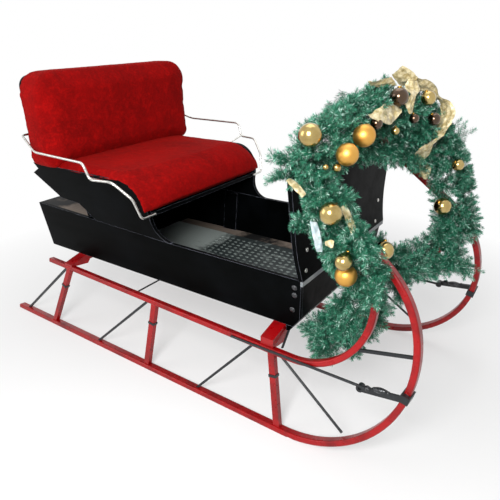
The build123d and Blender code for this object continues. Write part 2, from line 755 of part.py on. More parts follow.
with BuildPart() as side_cleats:
    for side, sign in SIDES:
        with BuildSketch(Plane.XY.offset(floor_top)):
            with Locations((CLEAT_BACK + CLEAT_LENGTH / 2, sign * LINE_HALF)):
                Rectangle(CLEAT_LENGTH, LINE_HALF)
        extrude(amount=BODY_LINE - floor_top)
    for side, sign in SIDES:
        split(bisect_by=flare_plane(sign, body_flare, WALL), keep=Keep.BOTTOM)
    with BuildSketch(Plane.YZ.offset(CLEAT_BACK)):
        cleat_low = inner_half(floor_top) - CLEAT_DEPTH
        cleat_high = inner_half(BODY_LINE) - CLEAT_DEPTH
        Polygon(
            (-cleat_low, floor_top),
            (cleat_low, floor_top),
            (cleat_high, BODY_LINE),
            (-cleat_high, BODY_LINE),
            align=None,
        )
    extrude(amount=CLEAT_LENGTH, mode=Mode.SUBTRACT)
finish(side_cleats, "side_cleats")

with BuildPart() as floor_mat:
    with BuildSketch(Plane.XY.offset(floor_top)):
        with Locations(((RISER + MAT_FRONT) / 2, 0)):
            RectangleRounded(MAT_FRONT - RISER - MAT_CLEAR, 2 * MAT_HALF, MAT)
    extrude(amount=MAT)
finish(floor_mat, "floor_mat")

# ---- dash ----------------------------------------------------------------------------------

sweep_centre = (DASH_REAR + DASH_SWEEP, DASH_STRAIGHT_FROM)
foot_drop = DASH_STRAIGHT_FROM - BODY_LINE
rear_foot = sweep_centre[0] - sqrt(DASH_SWEEP ** 2 - foot_drop ** 2)
front_foot = sweep_centre[0] - sqrt((DASH_SWEEP - DASH_WALL) ** 2 - foot_drop ** 2)
rear_mid_angle = radians(180) + asin(foot_drop / DASH_SWEEP) / 2
rear_mid = (sweep_centre[0] + DASH_SWEEP * cos(rear_mid_angle),
            sweep_centre[1] + DASH_SWEEP * sin(rear_mid_angle))
front_mid = (sweep_centre[0] + (DASH_SWEEP - DASH_WALL) * cos(rear_mid_angle),
             sweep_centre[1] + (DASH_SWEEP - DASH_WALL) * sin(rear_mid_angle))

with BuildPart() as dash:
    with BuildSketch(Plane.XZ):
        with BuildLine():
            Line((DASH_REAR, DASH_TOP), (DASH_REAR, DASH_STRAIGHT_FROM))
            ThreePointArc((DASH_REAR, DASH_STRAIGHT_FROM), rear_mid, (rear_foot, BODY_LINE))
            Line((rear_foot, BODY_LINE), (front_foot, BODY_LINE))
            ThreePointArc((front_foot, BODY_LINE), front_mid, (dash_front, DASH_STRAIGHT_FROM))
            Line((dash_front, DASH_STRAIGHT_FROM), (dash_front, DASH_TOP))
            Line((dash_front, DASH_TOP), (DASH_REAR, DASH_TOP))
        make_face()
    extrude(amount=GAUGE / 2, both=True)
    with BuildSketch(Plane.YZ.offset(DASH_REAR - DASH_WALL)):
        with BuildLine():
            outline = Polyline(
                (-DASH_FOOT_HALF, BODY_LINE),
                (DASH_FOOT_HALF, BODY_LINE),
                (DASH_TOP_HALF, DASH_TOP),
                (-DASH_TOP_HALF, DASH_TOP),
                close=True,
            )
        make_face()
        fillet(vertices().group_by(Axis.Y)[-1], DASH_CORNER)
    extrude(amount=front_foot - DASH_REAR + 2 * DASH_WALL, mode=Mode.INTERSECT)
finish(dash, "dash")

with BuildPart() as dash_moulding:
    with Locations((BODY_FRONT, 0, BODY_LINE)):
        Box(MOULDING_DEPTH, 2 * DASH_FOOT_HALF, MOULDING_HEIGHT,
            align=(Align.MIN, Align.CENTER, Align.MAX))
finish(dash_moulding, "dash_moulding")

# ---- seat ----------------------------------------------------------------------------------

rear_low = Vector(SEAT_REAR[3][0], 0, SEAT_REAR[3][1])
rear_high = Vector(SEAT_REAR[2][0], 0, SEAT_REAR[2][1])
rear_run = (rear_low - rear_high).normalized()
rear_inward = Vector(-rear_run.Z, 0, rear_run.X)


def rear_board_top(x):
    """Upper face of the sloping rear board at x."""
    start = rear_high + rear_inward * REAR_BOARD
    return start.Z + (x - start.X) * rear_run.Z / rear_run.X


with BuildPart() as seat_rear_board:
    with BuildSketch(Plane.XZ):
        with BuildLine():
            Polyline(
                *[(v.X, v.Z) for v in (
                    rear_high,
                    rear_low,
                    rear_low + rear_inward * REAR_BOARD,
                    rear_high + rear_inward * REAR_BOARD,
                )],
                close=True,
            )
        make_face()
    extrude(amount=GAUGE / 2, both=True)
    for side, sign in SIDES:
        split(bisect_by=flare_plane(sign, seat_flare, WALL), keep=Keep.BOTTOM)
finish(seat_rear_board, "seat_rear_board")

board_rear_low = rear_high.X + (seat_board_bottom - rear_board_top(rear_high.X)) / (
    rear_run.Z / rear_run.X)
board_rear_high = rear_high.X + (SEAT_BOARD_TOP - rear_board_top(rear_high.X)) / (
    rear_run.Z / rear_run.X)

with BuildPart() as seat_board:
    with BuildSketch(Plane.XZ):
        with BuildLine():
            Polyline(
                (board_rear_low, seat_board_bottom),
                (SEAT_FRONT, seat_board_bottom),
                (SEAT_FRONT, SEAT_BOARD_TOP),
                (board_rear_high, SEAT_BOARD_TOP),
                close=True,
            )
        make_face()
    extrude(amount=GAUGE / 2, both=True)
    for side, sign in SIDES:
        split(bisect_by=flare_plane(sign, seat_flare, WALL), keep=Keep.BOTTOM)
finish(seat_board, "seat_board")

back_board_rear = CUSHION_REAR - SOFT_GAP - BACK_BOARD
cushion_top = SEAT_TOP + CUSHION_LIP
back_foot = cushion_top + SOFT_GAP
board_half = BACK_HALF - BACK_BOARD_INSET

with BuildPart() as back_board:
    with BuildSketch(Plane.YZ.offset(back_board_rear)):
        with Locations((0, (back_foot + BACK_TOP - BACK_BOARD_INSET) / 2)):
            RectangleRounded(2 * board_half, BACK_TOP - BACK_BOARD_INSET - back_foot,
                             BACK_FOOT_CORNER)
        tongue_foot = rear_board_top(back_board_rear)
        with Locations((0, (tongue_foot + back_foot + BACK_FOOT_CORNER) / 2)):
            Rectangle(2 * inner_half(tongue_foot) - 2 * RISER_GAP,
                      back_foot + BACK_FOOT_CORNER - tongue_foot)
    extrude(amount=BACK_BOARD)
finish(back_board, "back_board")

with BuildPart() as seat_cushion:
    # between the side panels, down to the seat board
    with BuildSketch(Plane.XZ):
        with BuildLine():
            Line((CUSHION_REAR, cushion_top), (nose_at, cushion_top))
            nose_arc(CUSHION_LIP)
            Polyline(*nose_front(CUSHION_LIP), (board_rear_high, cushion_foot),
                     (CUSHION_REAR, rear_board_top(CUSHION_REAR) + SOFT_GAP),
                     (CUSHION_REAR, cushion_top))
        make_face()
    extrude(amount=GAUGE / 2, both=True)
    for side, sign in SIDES:
        split(bisect_by=flare_plane(sign, seat_flare, WALL + SOFT_GAP), keep=Keep.BOTTOM)
    # the rolled edge, which lies over the side panels
    with BuildSketch(Plane.XZ):
        with BuildLine():
            Line((CUSHION_REAR, SEAT_TOP + SOFT_GAP), (nose_at, SEAT_TOP + SOFT_GAP))
            nose_arc(SOFT_GAP)
            Polyline(*nose_front(SOFT_GAP), *reversed(nose_front(CUSHION_LIP)))
            nose_arc(CUSHION_LIP)
            Polyline((nose_at, cushion_top), (CUSHION_REAR, cushion_top),
                     (CUSHION_REAR, SEAT_TOP + SOFT_GAP))
        make_face()
    extrude(amount=CUSHION_LIP_HALF, both=True)
finish(seat_cushion, "seat_cushion")

with BuildPart() as back_cushion:
    with BuildSketch(Plane.YZ.offset(CUSHION_REAR)):
        with Locations((0, (back_foot + BACK_TOP) / 2)):
            Rectangle(2 * BACK_HALF, BACK_TOP - back_foot)
        fillet(vertices().group_by(Axis.Y)[-1], BACK_CORNER)
        fillet(vertices().group_by(Axis.Y)[0], BACK_FOOT_CORNER)
    extrude(amount=BACK_THICK)
    fillet(faces().sort_by(Axis.X)[-1].edges(), BACK_ROLL)
finish(back_cushion, "back_cushion")

# ---- arm rails -----------------------------------------------------------------------------

for side, sign in SIDES:
    route = [Vector(x, sign * y, z) for x, y, z, bend in ARM_ROUTE]
    with BuildPart() as arm_rail:
        post_top = Vector(ARM_POST_AT[0], sign * ARM_POST_AT[1], ARM_POST_AT[2])
        post_foot = Vector(ARM_POST_FOOT[0], sign * ARM_POST_FOOT[1], ARM_POST_FOOT[2])
        with BuildSketch(Plane(origin=post_foot, z_dir=post_top - post_foot)):
            Circle(ARM_POST_RADIUS)
        extrude(amount=(post_top - post_foot).length)
        split(bisect_by=flare_plane(sign, seat_flare), keep=Keep.TOP)
        with BuildLine() as route_line:
            FilletPolyline(*route, radius=[bend for x, y, z, bend in ARM_ROUTE][1:-1])
        with BuildSketch(Plane(origin=route[0], z_dir=route[1] - route[0])) as rod_section:
            Circle(ARM_RADIUS)
        sweep(sections=rod_section.sketch, path=route_line.line)
    finish(arm_rail, f"arm_rail_{side}")

# ---- garland -------------------------------------------------------------------------------

garland_points = [Vector(x, y, z) for x, y, z, bend in GARLAND_ROUTE]
garland_line = FilletPolyline(*garland_points, radius=[bend for x, y, z, bend in GARLAND_ROUTE][1:-1])
beside_garland = [finished[f"{name}_{side}"] for name in ("runner", "rail") for side, sign in SIDES]
beside_garland += [finished[name] for name in ("dash", "dash_moulding", "front_panel", "body_side_right")]


def has_room(spine, radius):
    """True where a bough of this radius round a line or a point stands clear of the sleigh and within its width."""
    clear = all(spine.distance_to(piece) > radius + BOUGH_CLEARANCE for piece in beside_garland)
    return clear and spine.bounding_box().min.Y > radius - BOUGH_HALF_WIDTH


def long_bough(root, tip):
    """A bunch of needles that narrows from the garland's middle to its rounded tip."""
    reach = (tip - root).length
    with BuildPart(Plane(origin=root, z_dir=tip - root)) as bunch:
        Cone(LONG_BOUGH_ROOT, LONG_BOUGH_TIP, reach - LONG_BOUGH_TIP,
             align=(Align.CENTER, Align.CENTER, Align.MIN))
        with Locations((0, 0, reach - LONG_BOUGH_TIP)):
            Sphere(LONG_BOUGH_TIP)
    return bunch.part


def round_bough(middle):
    """A round bunch of needles."""
    with BuildPart() as bunch:
        with Locations(middle):
            Sphere(BOUGH_RADIUS)
    return bunch.part


boughs = []
for index in range(BOUGHS):
    share = (index + 0.5) / BOUGHS
    reach = BOUGH_REACH_START + (BOUGH_REACH_END - BOUGH_REACH_START) * share
    outward = garland_line.location_at(share) * Rotation(0, 0, BOUGH_TURN * index)
    middle = (outward * Pos(reach - BOUGH_RADIUS, 0, 0)).position
    if has_room(Vertex(*middle), BOUGH_RADIUS):
        boughs.append(round_bough(middle))
for tip in LONG_BOUGH_TIPS:
    gap, root, at_tip = garland_line.distance_to_with_closest_points(Vertex(*tip))
    outer_end = root + (at_tip - root) * (1 - LONG_BOUGH_TIP / (at_tip - root).length)
    if has_room(Edge.make_line(root, outer_end), LONG_BOUGH_TIP):
        boughs.append(long_bough(root, at_tip))

with BuildPart() as garland:
    add(garland_line)
    with BuildSketch(Plane(origin=garland_points[0], z_dir=garland_points[1] - garland_points[0])):
        Circle(GARLAND_RADIUS)
    sweep(path=garland_line)
    add(boughs)
finish(garland, "garland")

# a wire tie at each place where the garland comes nearest to what it hangs on
with BuildPart() as garland_ties:
    for held_by in (runners["left"], runners["right"], dash):
        gap, on_garland, on_carrier = garland.part.distance_to_with_closest_points(held_by.part)
        with BuildSketch(Plane(origin=on_carrier, z_dir=on_garland - on_carrier)):
            Circle(TIE_RADIUS)
        extrude(amount=gap)
finish(garland_ties, "garland_ties")

# ---- balls ---------------------------------------------------------------------------------

# each ball is drawn in until it all but touches the garland or an earlier ball
hung = []
for node, x, y, z, radius in BALLS:
    middle = Vertex(x, y, z)
    reaches = [(middle.distance_to_with_closest_points(garland.part), 0.0)]
    reaches += [(middle.distance_to_with_closest_points(Vertex(*other)), other_radius)
                for other_node, other, other_radius in hung]
    (far, at_middle, at_seat), seat_radius = min(reaches, key=lambda reach: reach[0][0] - reach[1])
    draw_in = far - seat_radius - radius - BALL_GAP
    hung.append((node, at_middle + (at_seat - at_middle).normalized() * draw_in, radius))

for node in dict.fromkeys(name for name, middle, radius in hung):
    with BuildPart() as balls:
        for name, middle, radius in hung:
            if name == node:
                with Locations(middle):
                    Sphere(radius)
    finish(balls, node)
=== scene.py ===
"""Looks of a two-seat horse drawn sleigh dressed with a garland. Metres, +X forward, +Y left, +Z up."""
import math

import bmesh
import bpy
import mathutils.noise
import numpy as np
from mathutils import Matrix, Quaternion, Vector


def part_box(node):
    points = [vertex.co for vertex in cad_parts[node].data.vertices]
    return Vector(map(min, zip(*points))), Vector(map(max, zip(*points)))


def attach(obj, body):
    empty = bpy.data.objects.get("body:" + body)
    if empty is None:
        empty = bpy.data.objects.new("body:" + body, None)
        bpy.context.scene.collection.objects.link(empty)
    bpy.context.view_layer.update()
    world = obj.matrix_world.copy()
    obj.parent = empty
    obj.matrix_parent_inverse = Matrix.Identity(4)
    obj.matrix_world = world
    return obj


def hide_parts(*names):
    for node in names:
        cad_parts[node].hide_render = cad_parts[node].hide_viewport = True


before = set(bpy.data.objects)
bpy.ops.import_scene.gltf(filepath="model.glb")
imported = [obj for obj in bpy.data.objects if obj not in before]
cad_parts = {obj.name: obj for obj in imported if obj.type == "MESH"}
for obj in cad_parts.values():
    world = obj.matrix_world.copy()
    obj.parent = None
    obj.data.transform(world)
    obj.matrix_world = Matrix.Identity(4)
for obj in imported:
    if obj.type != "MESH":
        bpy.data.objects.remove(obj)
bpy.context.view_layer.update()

MM = 0.001
ROOT = "root"
MAT_TOP = 455 * MM           # height of the floor mat's face

# the camera: its place, the way it looks in degrees, and its lens
CAMERA_AT = (1.5408, -1.8627, 1.5399)
CAMERA_AZIMUTH = 35.836
CAMERA_ELEVATION = 23.793
CAMERA_ROLL = -1.387
LENS_MM = 35.78
SENSOR_MM = 36.0

# ---- colours and nodes ---------------------------------------------------------------------

# settings of a mix node that mixes colours: its inputs are then 0 for the share, and 6 and 7 for the colours
COLOURS = {"output": 2, "data_type": "RGBA"}


def linear(code):
    """An sRGB hex colour as linear red, green, blue and alpha."""
    parts = [int(code[i:i + 2], 16) / 255 for i in (1, 3, 5)]
    return tuple(c / 12.92 if c <= 0.04045 else ((c + 0.055) / 1.055) ** 2.4 for c in parts) + (1.0,)


def add_node(tree, kind, inputs=None, output=0, **settings):
    """Adds a node of one kind and gives back one of its outputs.

    Its inputs, by name or number, are values, sRGB hex colours or the outputs of other nodes.
    """
    node = tree.nodes.new(kind)
    for name, value in settings.items():
        setattr(node, name, value)
    for key, value in (inputs or {}).items():
        if isinstance(value, bpy.types.NodeSocket):
            tree.links.new(value, node.inputs[key])
        else:
            node.inputs[key].default_value = linear(value) if isinstance(value, str) else value
    return node.outputs[output] if len(node.outputs) else None


def empty_tree(owner):
    """The node tree of a material or a world, with nothing in it yet."""
    owner.use_nodes = True
    owner.node_tree.nodes.clear()
    return owner.node_tree


def make_material(name, finish, *choices):
    """A material. Its finish says what its shader takes, from the place on the object in metres."""
    material = bpy.data.materials.new(name)
    tree = empty_tree(material)
    at = add_node(tree, "ShaderNodeTexCoord", output="Object")
    shader = add_node(tree, "ShaderNodeBsdfPrincipled", finish(tree, at, *choices))
    add_node(tree, "ShaderNodeOutputMaterial", {"Surface": shader})
    return material


def patches(tree, at, size_mm, detail, rough, edge, values=(0.0, 1.0)):
    """Soft-edged patches about size_mm across, with the first value between them and the second on them.

    They are where clouds are thick, and their edge is the span of thickness in which the value changes.
    """
    clouds = add_node(tree, "ShaderNodeTexNoise", {
        "Vector": at, "Scale": 1 / (size_mm * MM), "Detail": detail, "Roughness": rough})
    return add_node(tree, "ShaderNodeMapRange", {
        "Value": clouds, "From Min": edge[0], "From Max": edge[1], "To Min": values[0], "To Max": values[1]})


def uneven(tree, at, size_mm, detail, rough, depth_mm, strength):
    """How a surface tilts that has humps about size_mm across and depth_mm high."""
    humps = add_node(tree, "ShaderNodeTexNoise", {
        "Vector": at, "Scale": 1 / (size_mm * MM), "Detail": detail, "Roughness": rough})
    return add_node(tree, "ShaderNodeBump", {"Height": humps, "Distance": depth_mm * MM, "Strength": strength})


# ---- materials -----------------------------------------------------------------------------


def red_enamel(tree, at):
    """Brushed gloss enamel on steel: deep red, a little uneven, with darker grime and a few brown chips."""
    grime = patches(tree, at, 90, 5, 0.65, (0.45, 0.75))
    chips = patches(tree, at, 14, 6, 0.7, (0.70, 0.74))
    colour = add_node(tree, "ShaderNodeMix", {0: grime, 6: "#98060b", 7: "#660508"}, **COLOURS)
    colour = add_node(tree, "ShaderNodeMix", {0: chips, 6: colour, 7: "#4a1512"}, **COLOURS)
    return {
        "Base Color": colour,
        "Roughness": patches(tree, at, 40, 4, 0.6, (0.3, 0.7), (0.22, 0.42)),
        "Specular IOR Level": 0.3,
        "Coat Weight": 0.1,
        "Coat Roughness": 0.12,
        "Normal": uneven(tree, at, 9, 3, 0.5, 0.5, 0.35)}


def black_iron(tree, at):
    """Forged iron under black paint: blue-black, satin, uneven from the hammer, greyer where it is worn."""
    worn = patches(tree, at, 25, 5, 0.65, (0.55, 0.75))
    return {
        "Base Color": add_node(tree, "ShaderNodeMix", {0: worn, 6: "#14171a", 7: "#2b2f33"}, **COLOURS),
        "Roughness": patches(tree, at, 18, 4, 0.5, (0.3, 0.7), (0.32, 0.5)),
        "Specular IOR Level": 0.45,
        "Normal": uneven(tree, at, 14, 3, 0.55, 0.6, 0.5)}


def worn_iron(tree, at):
    """Small forged ironwork under black paint, worn to bright metal where hands and harness touch it."""
    worn = patches(tree, at, 7, 5, 0.65, (0.52, 0.66))
    return {
        "Base Color": add_node(tree, "ShaderNodeMix", {0: worn, 6: "#17191c", 7: "#6d6f72"}, **COLOURS),
        "Metallic": add_node(tree, "ShaderNodeMath", {0: worn, 1: 0.8}, operation="MULTIPLY"),
        "Roughness": 0.33,
        "Normal": uneven(tree, at, 6, 3, 0.55, 0.4, 0.5)}


def worn_and_highlit_edges(tree, at, width_mm):
    """1 along a sharp edge and 0 away from it, in patches: where lacquer has rubbed through, and where the grey
    also serves as a painted highlight along the edge.
    """
    rounded = add_node(tree, "ShaderNodeBevel", {"Radius": width_mm * MM}, samples=6)
    flat = add_node(tree, "ShaderNodeNewGeometry", output="True Normal")
    turn = add_node(tree, "ShaderNodeVectorMath", {0: rounded, 1: flat}, "Value", operation="DOT_PRODUCT")
    # the wear and its painted highlight start where the rounded edge turns 22 degrees away from its face, and
    # are full at 33
    edge = add_node(tree, "ShaderNodeMapRange", {"Value": turn, "From Min": 0.93, "From Max": 0.84})
    rubbed = patches(tree, at, 60, 4, 0.6, (0.32, 0.55), (0.25, 1.0))
    return add_node(tree, "ShaderNodeMath", {0: edge, 1: rubbed}, operation="MULTIPLY")


def coach_lacquer(tree, at):
    """Brushed coach lacquer over boards: blue-black, a long faint grain, edges rubbed to grey primer, which also
    stands as a painted highlight along them.
    """
    dust = patches(tree, at, 220, 5, 0.6, (0.42, 0.72))
    colour = add_node(tree, "ShaderNodeMix", {0: dust, 6: "#020303", 7: "#07090b"}, **COLOURS)
    # grey along the edges: rubbed-through primer, and a painted highlight where the edges catch the light
    colour = add_node(tree, "ShaderNodeMix", {0: worn_and_highlit_edges(tree, at, 2.5), 6: colour, 7: "#777a86"}, **COLOURS)
    brush_runs = add_node(tree, "ShaderNodeMapping", {"Vector": at, "Scale": (0.12, 1, 1)})
    wood_grain = add_node(tree, "ShaderNodeMapping", {"Vector": at, "Scale": (0.04, 1, 1)})
    return {
        "Base Color": colour,
        "Roughness": patches(tree, brush_runs, 60, 5, 0.6, (0.3, 0.7), (0.30, 0.46)),
        "IOR": 1.08,             # far below a fresh coat's 1.5, because old lacquer mirrors little
        "Normal": uneven(tree, wood_grain, 5, 4, 0.6, 0.3, 0.25)}


def worn_boards(tree, at):
    """Softwood boards rubbed bare: grey-brown wood shows through black paint.

    It is barest on the floor by the seat, where the pale wood also lifts the seat's shade as painted light, and
    the rear deck's back end has kept its paint.
    """
    lengthways = add_node(tree, "ShaderNodeMapping", {"Vector": at, "Scale": (0.05, 1, 1)})
    grain = add_node(tree, "ShaderNodeTexNoise", {
        "Vector": lengthways, "Scale": 1 / (7 * MM), "Detail": 6, "Roughness": 0.65, "Distortion": 0.4})
    wood = add_node(tree, "ShaderNodeMix", {0: grain, 6: "#95887c", 7: "#5b5048"}, **COLOURS)
    forward = add_node(tree, "ShaderNodeSeparateXYZ", {0: at}, "X")
    # most bare wood under the seat: partly wear, partly painted light that lifts the shade the seat casts there
    front = add_node(tree, "ShaderNodeMapRange", {
        "Value": forward, "From Min": -0.16, "From Max": 0.02, "To Min": 0.20, "To Max": -0.10})
    rear = add_node(tree, "ShaderNodeMapRange", {
        "Value": forward, "From Min": -0.80, "From Max": -0.72, "To Min": -0.36, "To Max": 0.0})
    wear_and_light = add_node(tree, "ShaderNodeMath", {0: front, 1: rear}, operation="ADD")
    clouds = add_node(tree, "ShaderNodeTexNoise", {
        "Vector": at, "Scale": 1 / (130 * MM), "Detail": 6, "Roughness": 0.65})
    wear_and_light = add_node(tree, "ShaderNodeMath", {0: clouds, 1: wear_and_light}, operation="ADD")
    bare = add_node(tree, "ShaderNodeMapRange", {"Value": wear_and_light, "From Min": 0.40, "From Max": 0.56})
    return {
        "Base Color": add_node(tree, "ShaderNodeMix", {0: bare, 6: "#141414", 7: wood}, **COLOURS),
        "Roughness": 0.65,
        "Specular IOR Level": 0.2,
        "Normal": add_node(tree, "ShaderNodeBump", {"Height": grain, "Distance": 0.6 * MM, "Strength": 0.4})}


def grey_paint(tree, at):
    """A batten in brushed grey oil paint, rubbed pale in streaks along its length."""
    lengthways = add_node(tree, "ShaderNodeMapping", {"Vector": at, "Scale": (1, 0.2, 1)})
    rub = patches(tree, lengthways, 18, 5, 0.65, (0.4, 0.65))
    return {
        "Base Color": add_node(tree, "ShaderNodeMix", {0: rub, 6: "#70757a", 7: "#a6a8a8"}, **COLOURS),
        "Roughness": 0.45,
        "Normal": uneven(tree, at, 6, 4, 0.5, 0.3, 0.4)}


def mat_rubber(tree, at):
    """Moulded rubber matting: charcoal, dull and speckled, its raised tops scuffed pale, its rear dusty."""
    forward = add_node(tree, "ShaderNodeSeparateXYZ", {0: at}, "X")
    height = add_node(tree, "ShaderNodeSeparateXYZ", {0: at}, "Z")
    rear = add_node(tree, "ShaderNodeMapRange", {
        "Value": forward, "From Min": -0.20, "From Max": -0.06, "To Min": 0.36, "To Max": -0.12})
    clouds = add_node(tree, "ShaderNodeTexNoise", {
        "Vector": at, "Scale": 1 / (60 * MM), "Detail": 6, "Roughness": 0.7})
    dust = add_node(tree, "ShaderNodeMath", {0: clouds, 1: rear}, operation="ADD")
    dust = add_node(tree, "ShaderNodeMapRange", {"Value": dust, "From Min": 0.42, "From Max": 0.75})
    colour = add_node(tree, "ShaderNodeMix", {0: dust, 6: "#20292a", 7: "#b0bab6"}, **COLOURS)
    tops = add_node(tree, "ShaderNodeMapRange", {
        "Value": height, "From Min": MAT_TOP + 0.8 * MM, "From Max": MAT_TOP + 2.2 * MM})
    colour = add_node(tree, "ShaderNodeMix", {0: tops, 6: colour, 7: "#7f8a86"}, **COLOURS)
    darker = add_node(tree, "ShaderNodeMix", {0: 0.45, 6: colour, 7: "#0c1110"}, **COLOURS)
    speckle = patches(tree, at, 5, 5, 0.75, (0.42, 0.62))
    return {
        "Base Color": add_node(tree, "ShaderNodeMix", {0: speckle, 6: darker, 7: colour}, **COLOURS),
        "Roughness": 0.55,
        "Normal": uneven(tree, at, 4, 4, 0.6, 0.4, 0.5)}


def crushed_velvet(tree, at):
    """Crushed velvet: short pile pressed in soft swirls, whose sheen is painted into the colour, so the crimson
    drifts from wine to scarlet.
    """
    drift = add_node(tree, "ShaderNodeTexNoise", {
        "Vector": at, "Scale": 1 / (240 * MM), "Detail": 3, "Roughness": 0.5})
    swirl = add_node(tree, "ShaderNodeTexNoise", {
        "Vector": at, "Scale": 1 / (48 * MM), "Detail": 5, "Roughness": 0.6, "Distortion": 1.0})
    fine = add_node(tree, "ShaderNodeTexNoise", {
        "Vector": at, "Scale": 1 / (11 * MM), "Detail": 4, "Roughness": 0.7})
    crush = add_node(tree, "ShaderNodeMath", {0: swirl, 1: fine}, operation="ADD")
    tone = add_node(tree, "ShaderNodeMath", {0: crush, 1: drift}, operation="ADD")
    # painted sheen: swirls of crushed pile that catch the light are painted scarlet, the others wine
    lit = add_node(tree, "ShaderNodeMapRange", {"Value": tone, "From Min": 1.2, "From Max": 1.75})
    colour = add_node(tree, "ShaderNodeMix", {0: lit, 6: "#7c0303", 7: "#9a0404"}, **COLOURS)
    # painted highlight along the ridges of the crush
    highlit_ridges = add_node(tree, "ShaderNodeMapRange", {"Value": crush, "From Min": 1.05, "From Max": 1.45})
    # the pile's own tufts are about 1 mm, drawn at 4 mm so that they show
    pile = add_node(tree, "ShaderNodeTexNoise", {
        "Vector": at, "Scale": 1 / (4 * MM), "Detail": 3, "Roughness": 0.7})
    crushed = add_node(tree, "ShaderNodeBump", {"Height": crush, "Distance": 3 * MM, "Strength": 0.4})
    return {
        "Base Color": add_node(tree, "ShaderNodeMix", {0: highlit_ridges, 6: colour, 7: "#ac0a07"}, **COLOURS),
        "Roughness": 0.9,
        "Specular IOR Level": 0.1,
        "Sheen Weight": 0.08,
        "Sheen Roughness": 0.4,
        "Sheen Tint": "#e8402c",
        "Normal": add_node(tree, "ShaderNodeBump", {
            "Height": pile, "Distance": 1 * MM, "Strength": 0.5, "Normal": crushed})}


def nickel_plate(tree, at):
    """Nickel plate on bent rod: bright, faintly warm, cloudy from hands, with some dull spots."""
    tarnish = patches(tree, at, 12, 5, 0.6, (0.5, 0.8))
    return {
        "Base Color": add_node(tree, "ShaderNodeMix", {0: tarnish, 6: "#d2d1cc", 7: "#8f8c86"}, **COLOURS),
        "Metallic": 1.0,
        "Roughness": patches(tree, at, 5, 4, 0.5, (0.3, 0.7), (0.16, 0.34))}


# ---- meshes --------------------------------------------------------------------------------


def add_piece(name, mesh, material, smooth=True):
    """Puts a mesh in the scene as a piece that rides on the sleigh."""
    piece = bpy.data.objects.new(name, mesh)
    bpy.context.scene.collection.objects.link(piece)
    if material is not None:
        mesh.materials.append(material)
    if smooth:
        mesh.shade_smooth()
    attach(piece, ROOT)
    return piece


def dress(material, *names):
    """Gives CAD nodes a material."""
    for name in names:
        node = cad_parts[name]
        node.data.materials.clear()
        node.data.materials.append(material)


def both(*names):
    """The left and right node of each name."""
    return [f"{name}_{side}" for name in names for side in ("left", "right")]


RED = make_material("red_enamel_brushed", red_enamel)
IRON = make_material("painted_iron_forged", black_iron)
WORN_IRON = make_material("painted_iron_handled", worn_iron)
LACQUER = make_material("coach_lacquer_brushed", coach_lacquer)
BOARDS = make_material("softwood_worn_paint", worn_boards)
GREY = make_material("oil_paint_rubbed", grey_paint)
RUBBER = make_material("rubber_moulded", mat_rubber)
VELVET = make_material("velvet_crushed", crushed_velvet)
NICKEL = make_material("nickel_plated", nickel_plate)

dress(RED, *both("runner", "rail", "knee_rear", "knee_middle", "knee_front"),
      "cross_beam_rear", "cross_beam_front")
dress(IRON, *both("knee_bands", "side_irons", "front_brace", "draft_rod", "shaft_coupling",
                  "bow_strut"), "tie_rod", "front_props", "garland_ties")
dress(LACQUER, *both("body_side", "seat_side"), "front_sill", "front_panel", "rear_panel",
      "seat_riser", "side_cleats", "dash", "seat_rear_board", "seat_board", "back_board")
dress(BOARDS, "floor", "rear_deck")
dress(GREY, "dash_moulding")
dress(RUBBER, "floor_mat")
dress(NICKEL, *both("arm_rail"))

# ---- floor mat -----------------------------------------------------------------------------

STUD_SIZE = (24 * MM, 14.5 * MM, 2.6 * MM)      # length, width and height
STUD_PITCH = (38 * MM, 33 * MM)     # along a row, and from row to row
STUD_ROW_SHIFT = 5 * MM      # each row starts this much further forward than the row to its left
STUD_FROM, STUD_TO = (-0.150, 0.211), (0.662, -0.250)     # the first oval's middle, and where the rows end
STUD_CORNERS = 16
STUD_RINGS = ((1.0, -0.15), (0.94, 0.55), (0.80, 0.9), (0.62, 1.0))     # shares of its width and height


def oval_stud(x, y):
    """Points and faces of a low oval button with a rounded rim and a flat top."""
    points, faces = [], []
    for share, rise in STUD_RINGS:
        for k in range(STUD_CORNERS):
            angle = 2 * math.pi * k / STUD_CORNERS
            points.append((x + math.cos(angle) * share * STUD_SIZE[0] / 2,
                           y + math.sin(angle) * share * STUD_SIZE[1] / 2, MAT_TOP + rise * STUD_SIZE[2]))
    top = (len(STUD_RINGS) - 1) * STUD_CORNERS
    for low in range(0, top, STUD_CORNERS):
        for k in range(STUD_CORNERS):
            turn, high = (k + 1) % STUD_CORNERS, low + STUD_CORNERS
            faces.append((low + k, low + turn, high + turn, high + k))
    faces.append(tuple(range(top, top + STUD_CORNERS)))
    return points, faces


def make_studs():
    """The mat's raised ovals, in rows that lean a little forward."""
    points, faces = [], []
    for row in range(int((STUD_FROM[1] - STUD_TO[1]) / STUD_PITCH[1]) + 1):
        x = STUD_FROM[0] + (row * STUD_ROW_SHIFT) % STUD_PITCH[0]
        while x < STUD_TO[0]:
            new_points, new_faces = oval_stud(x, STUD_FROM[1] - row * STUD_PITCH[1])
            faces += [tuple(corner + len(points) for corner in face) for face in new_faces]
            points += new_points
            x += STUD_PITCH[0]
    mesh = bpy.data.meshes.new("mat_ovals")
    mesh.from_pydata(points, [], faces)
    add_piece("mat_ovals", mesh, RUBBER)


make_studs()

# ---- cushions ------------------------------------------------------------------------------

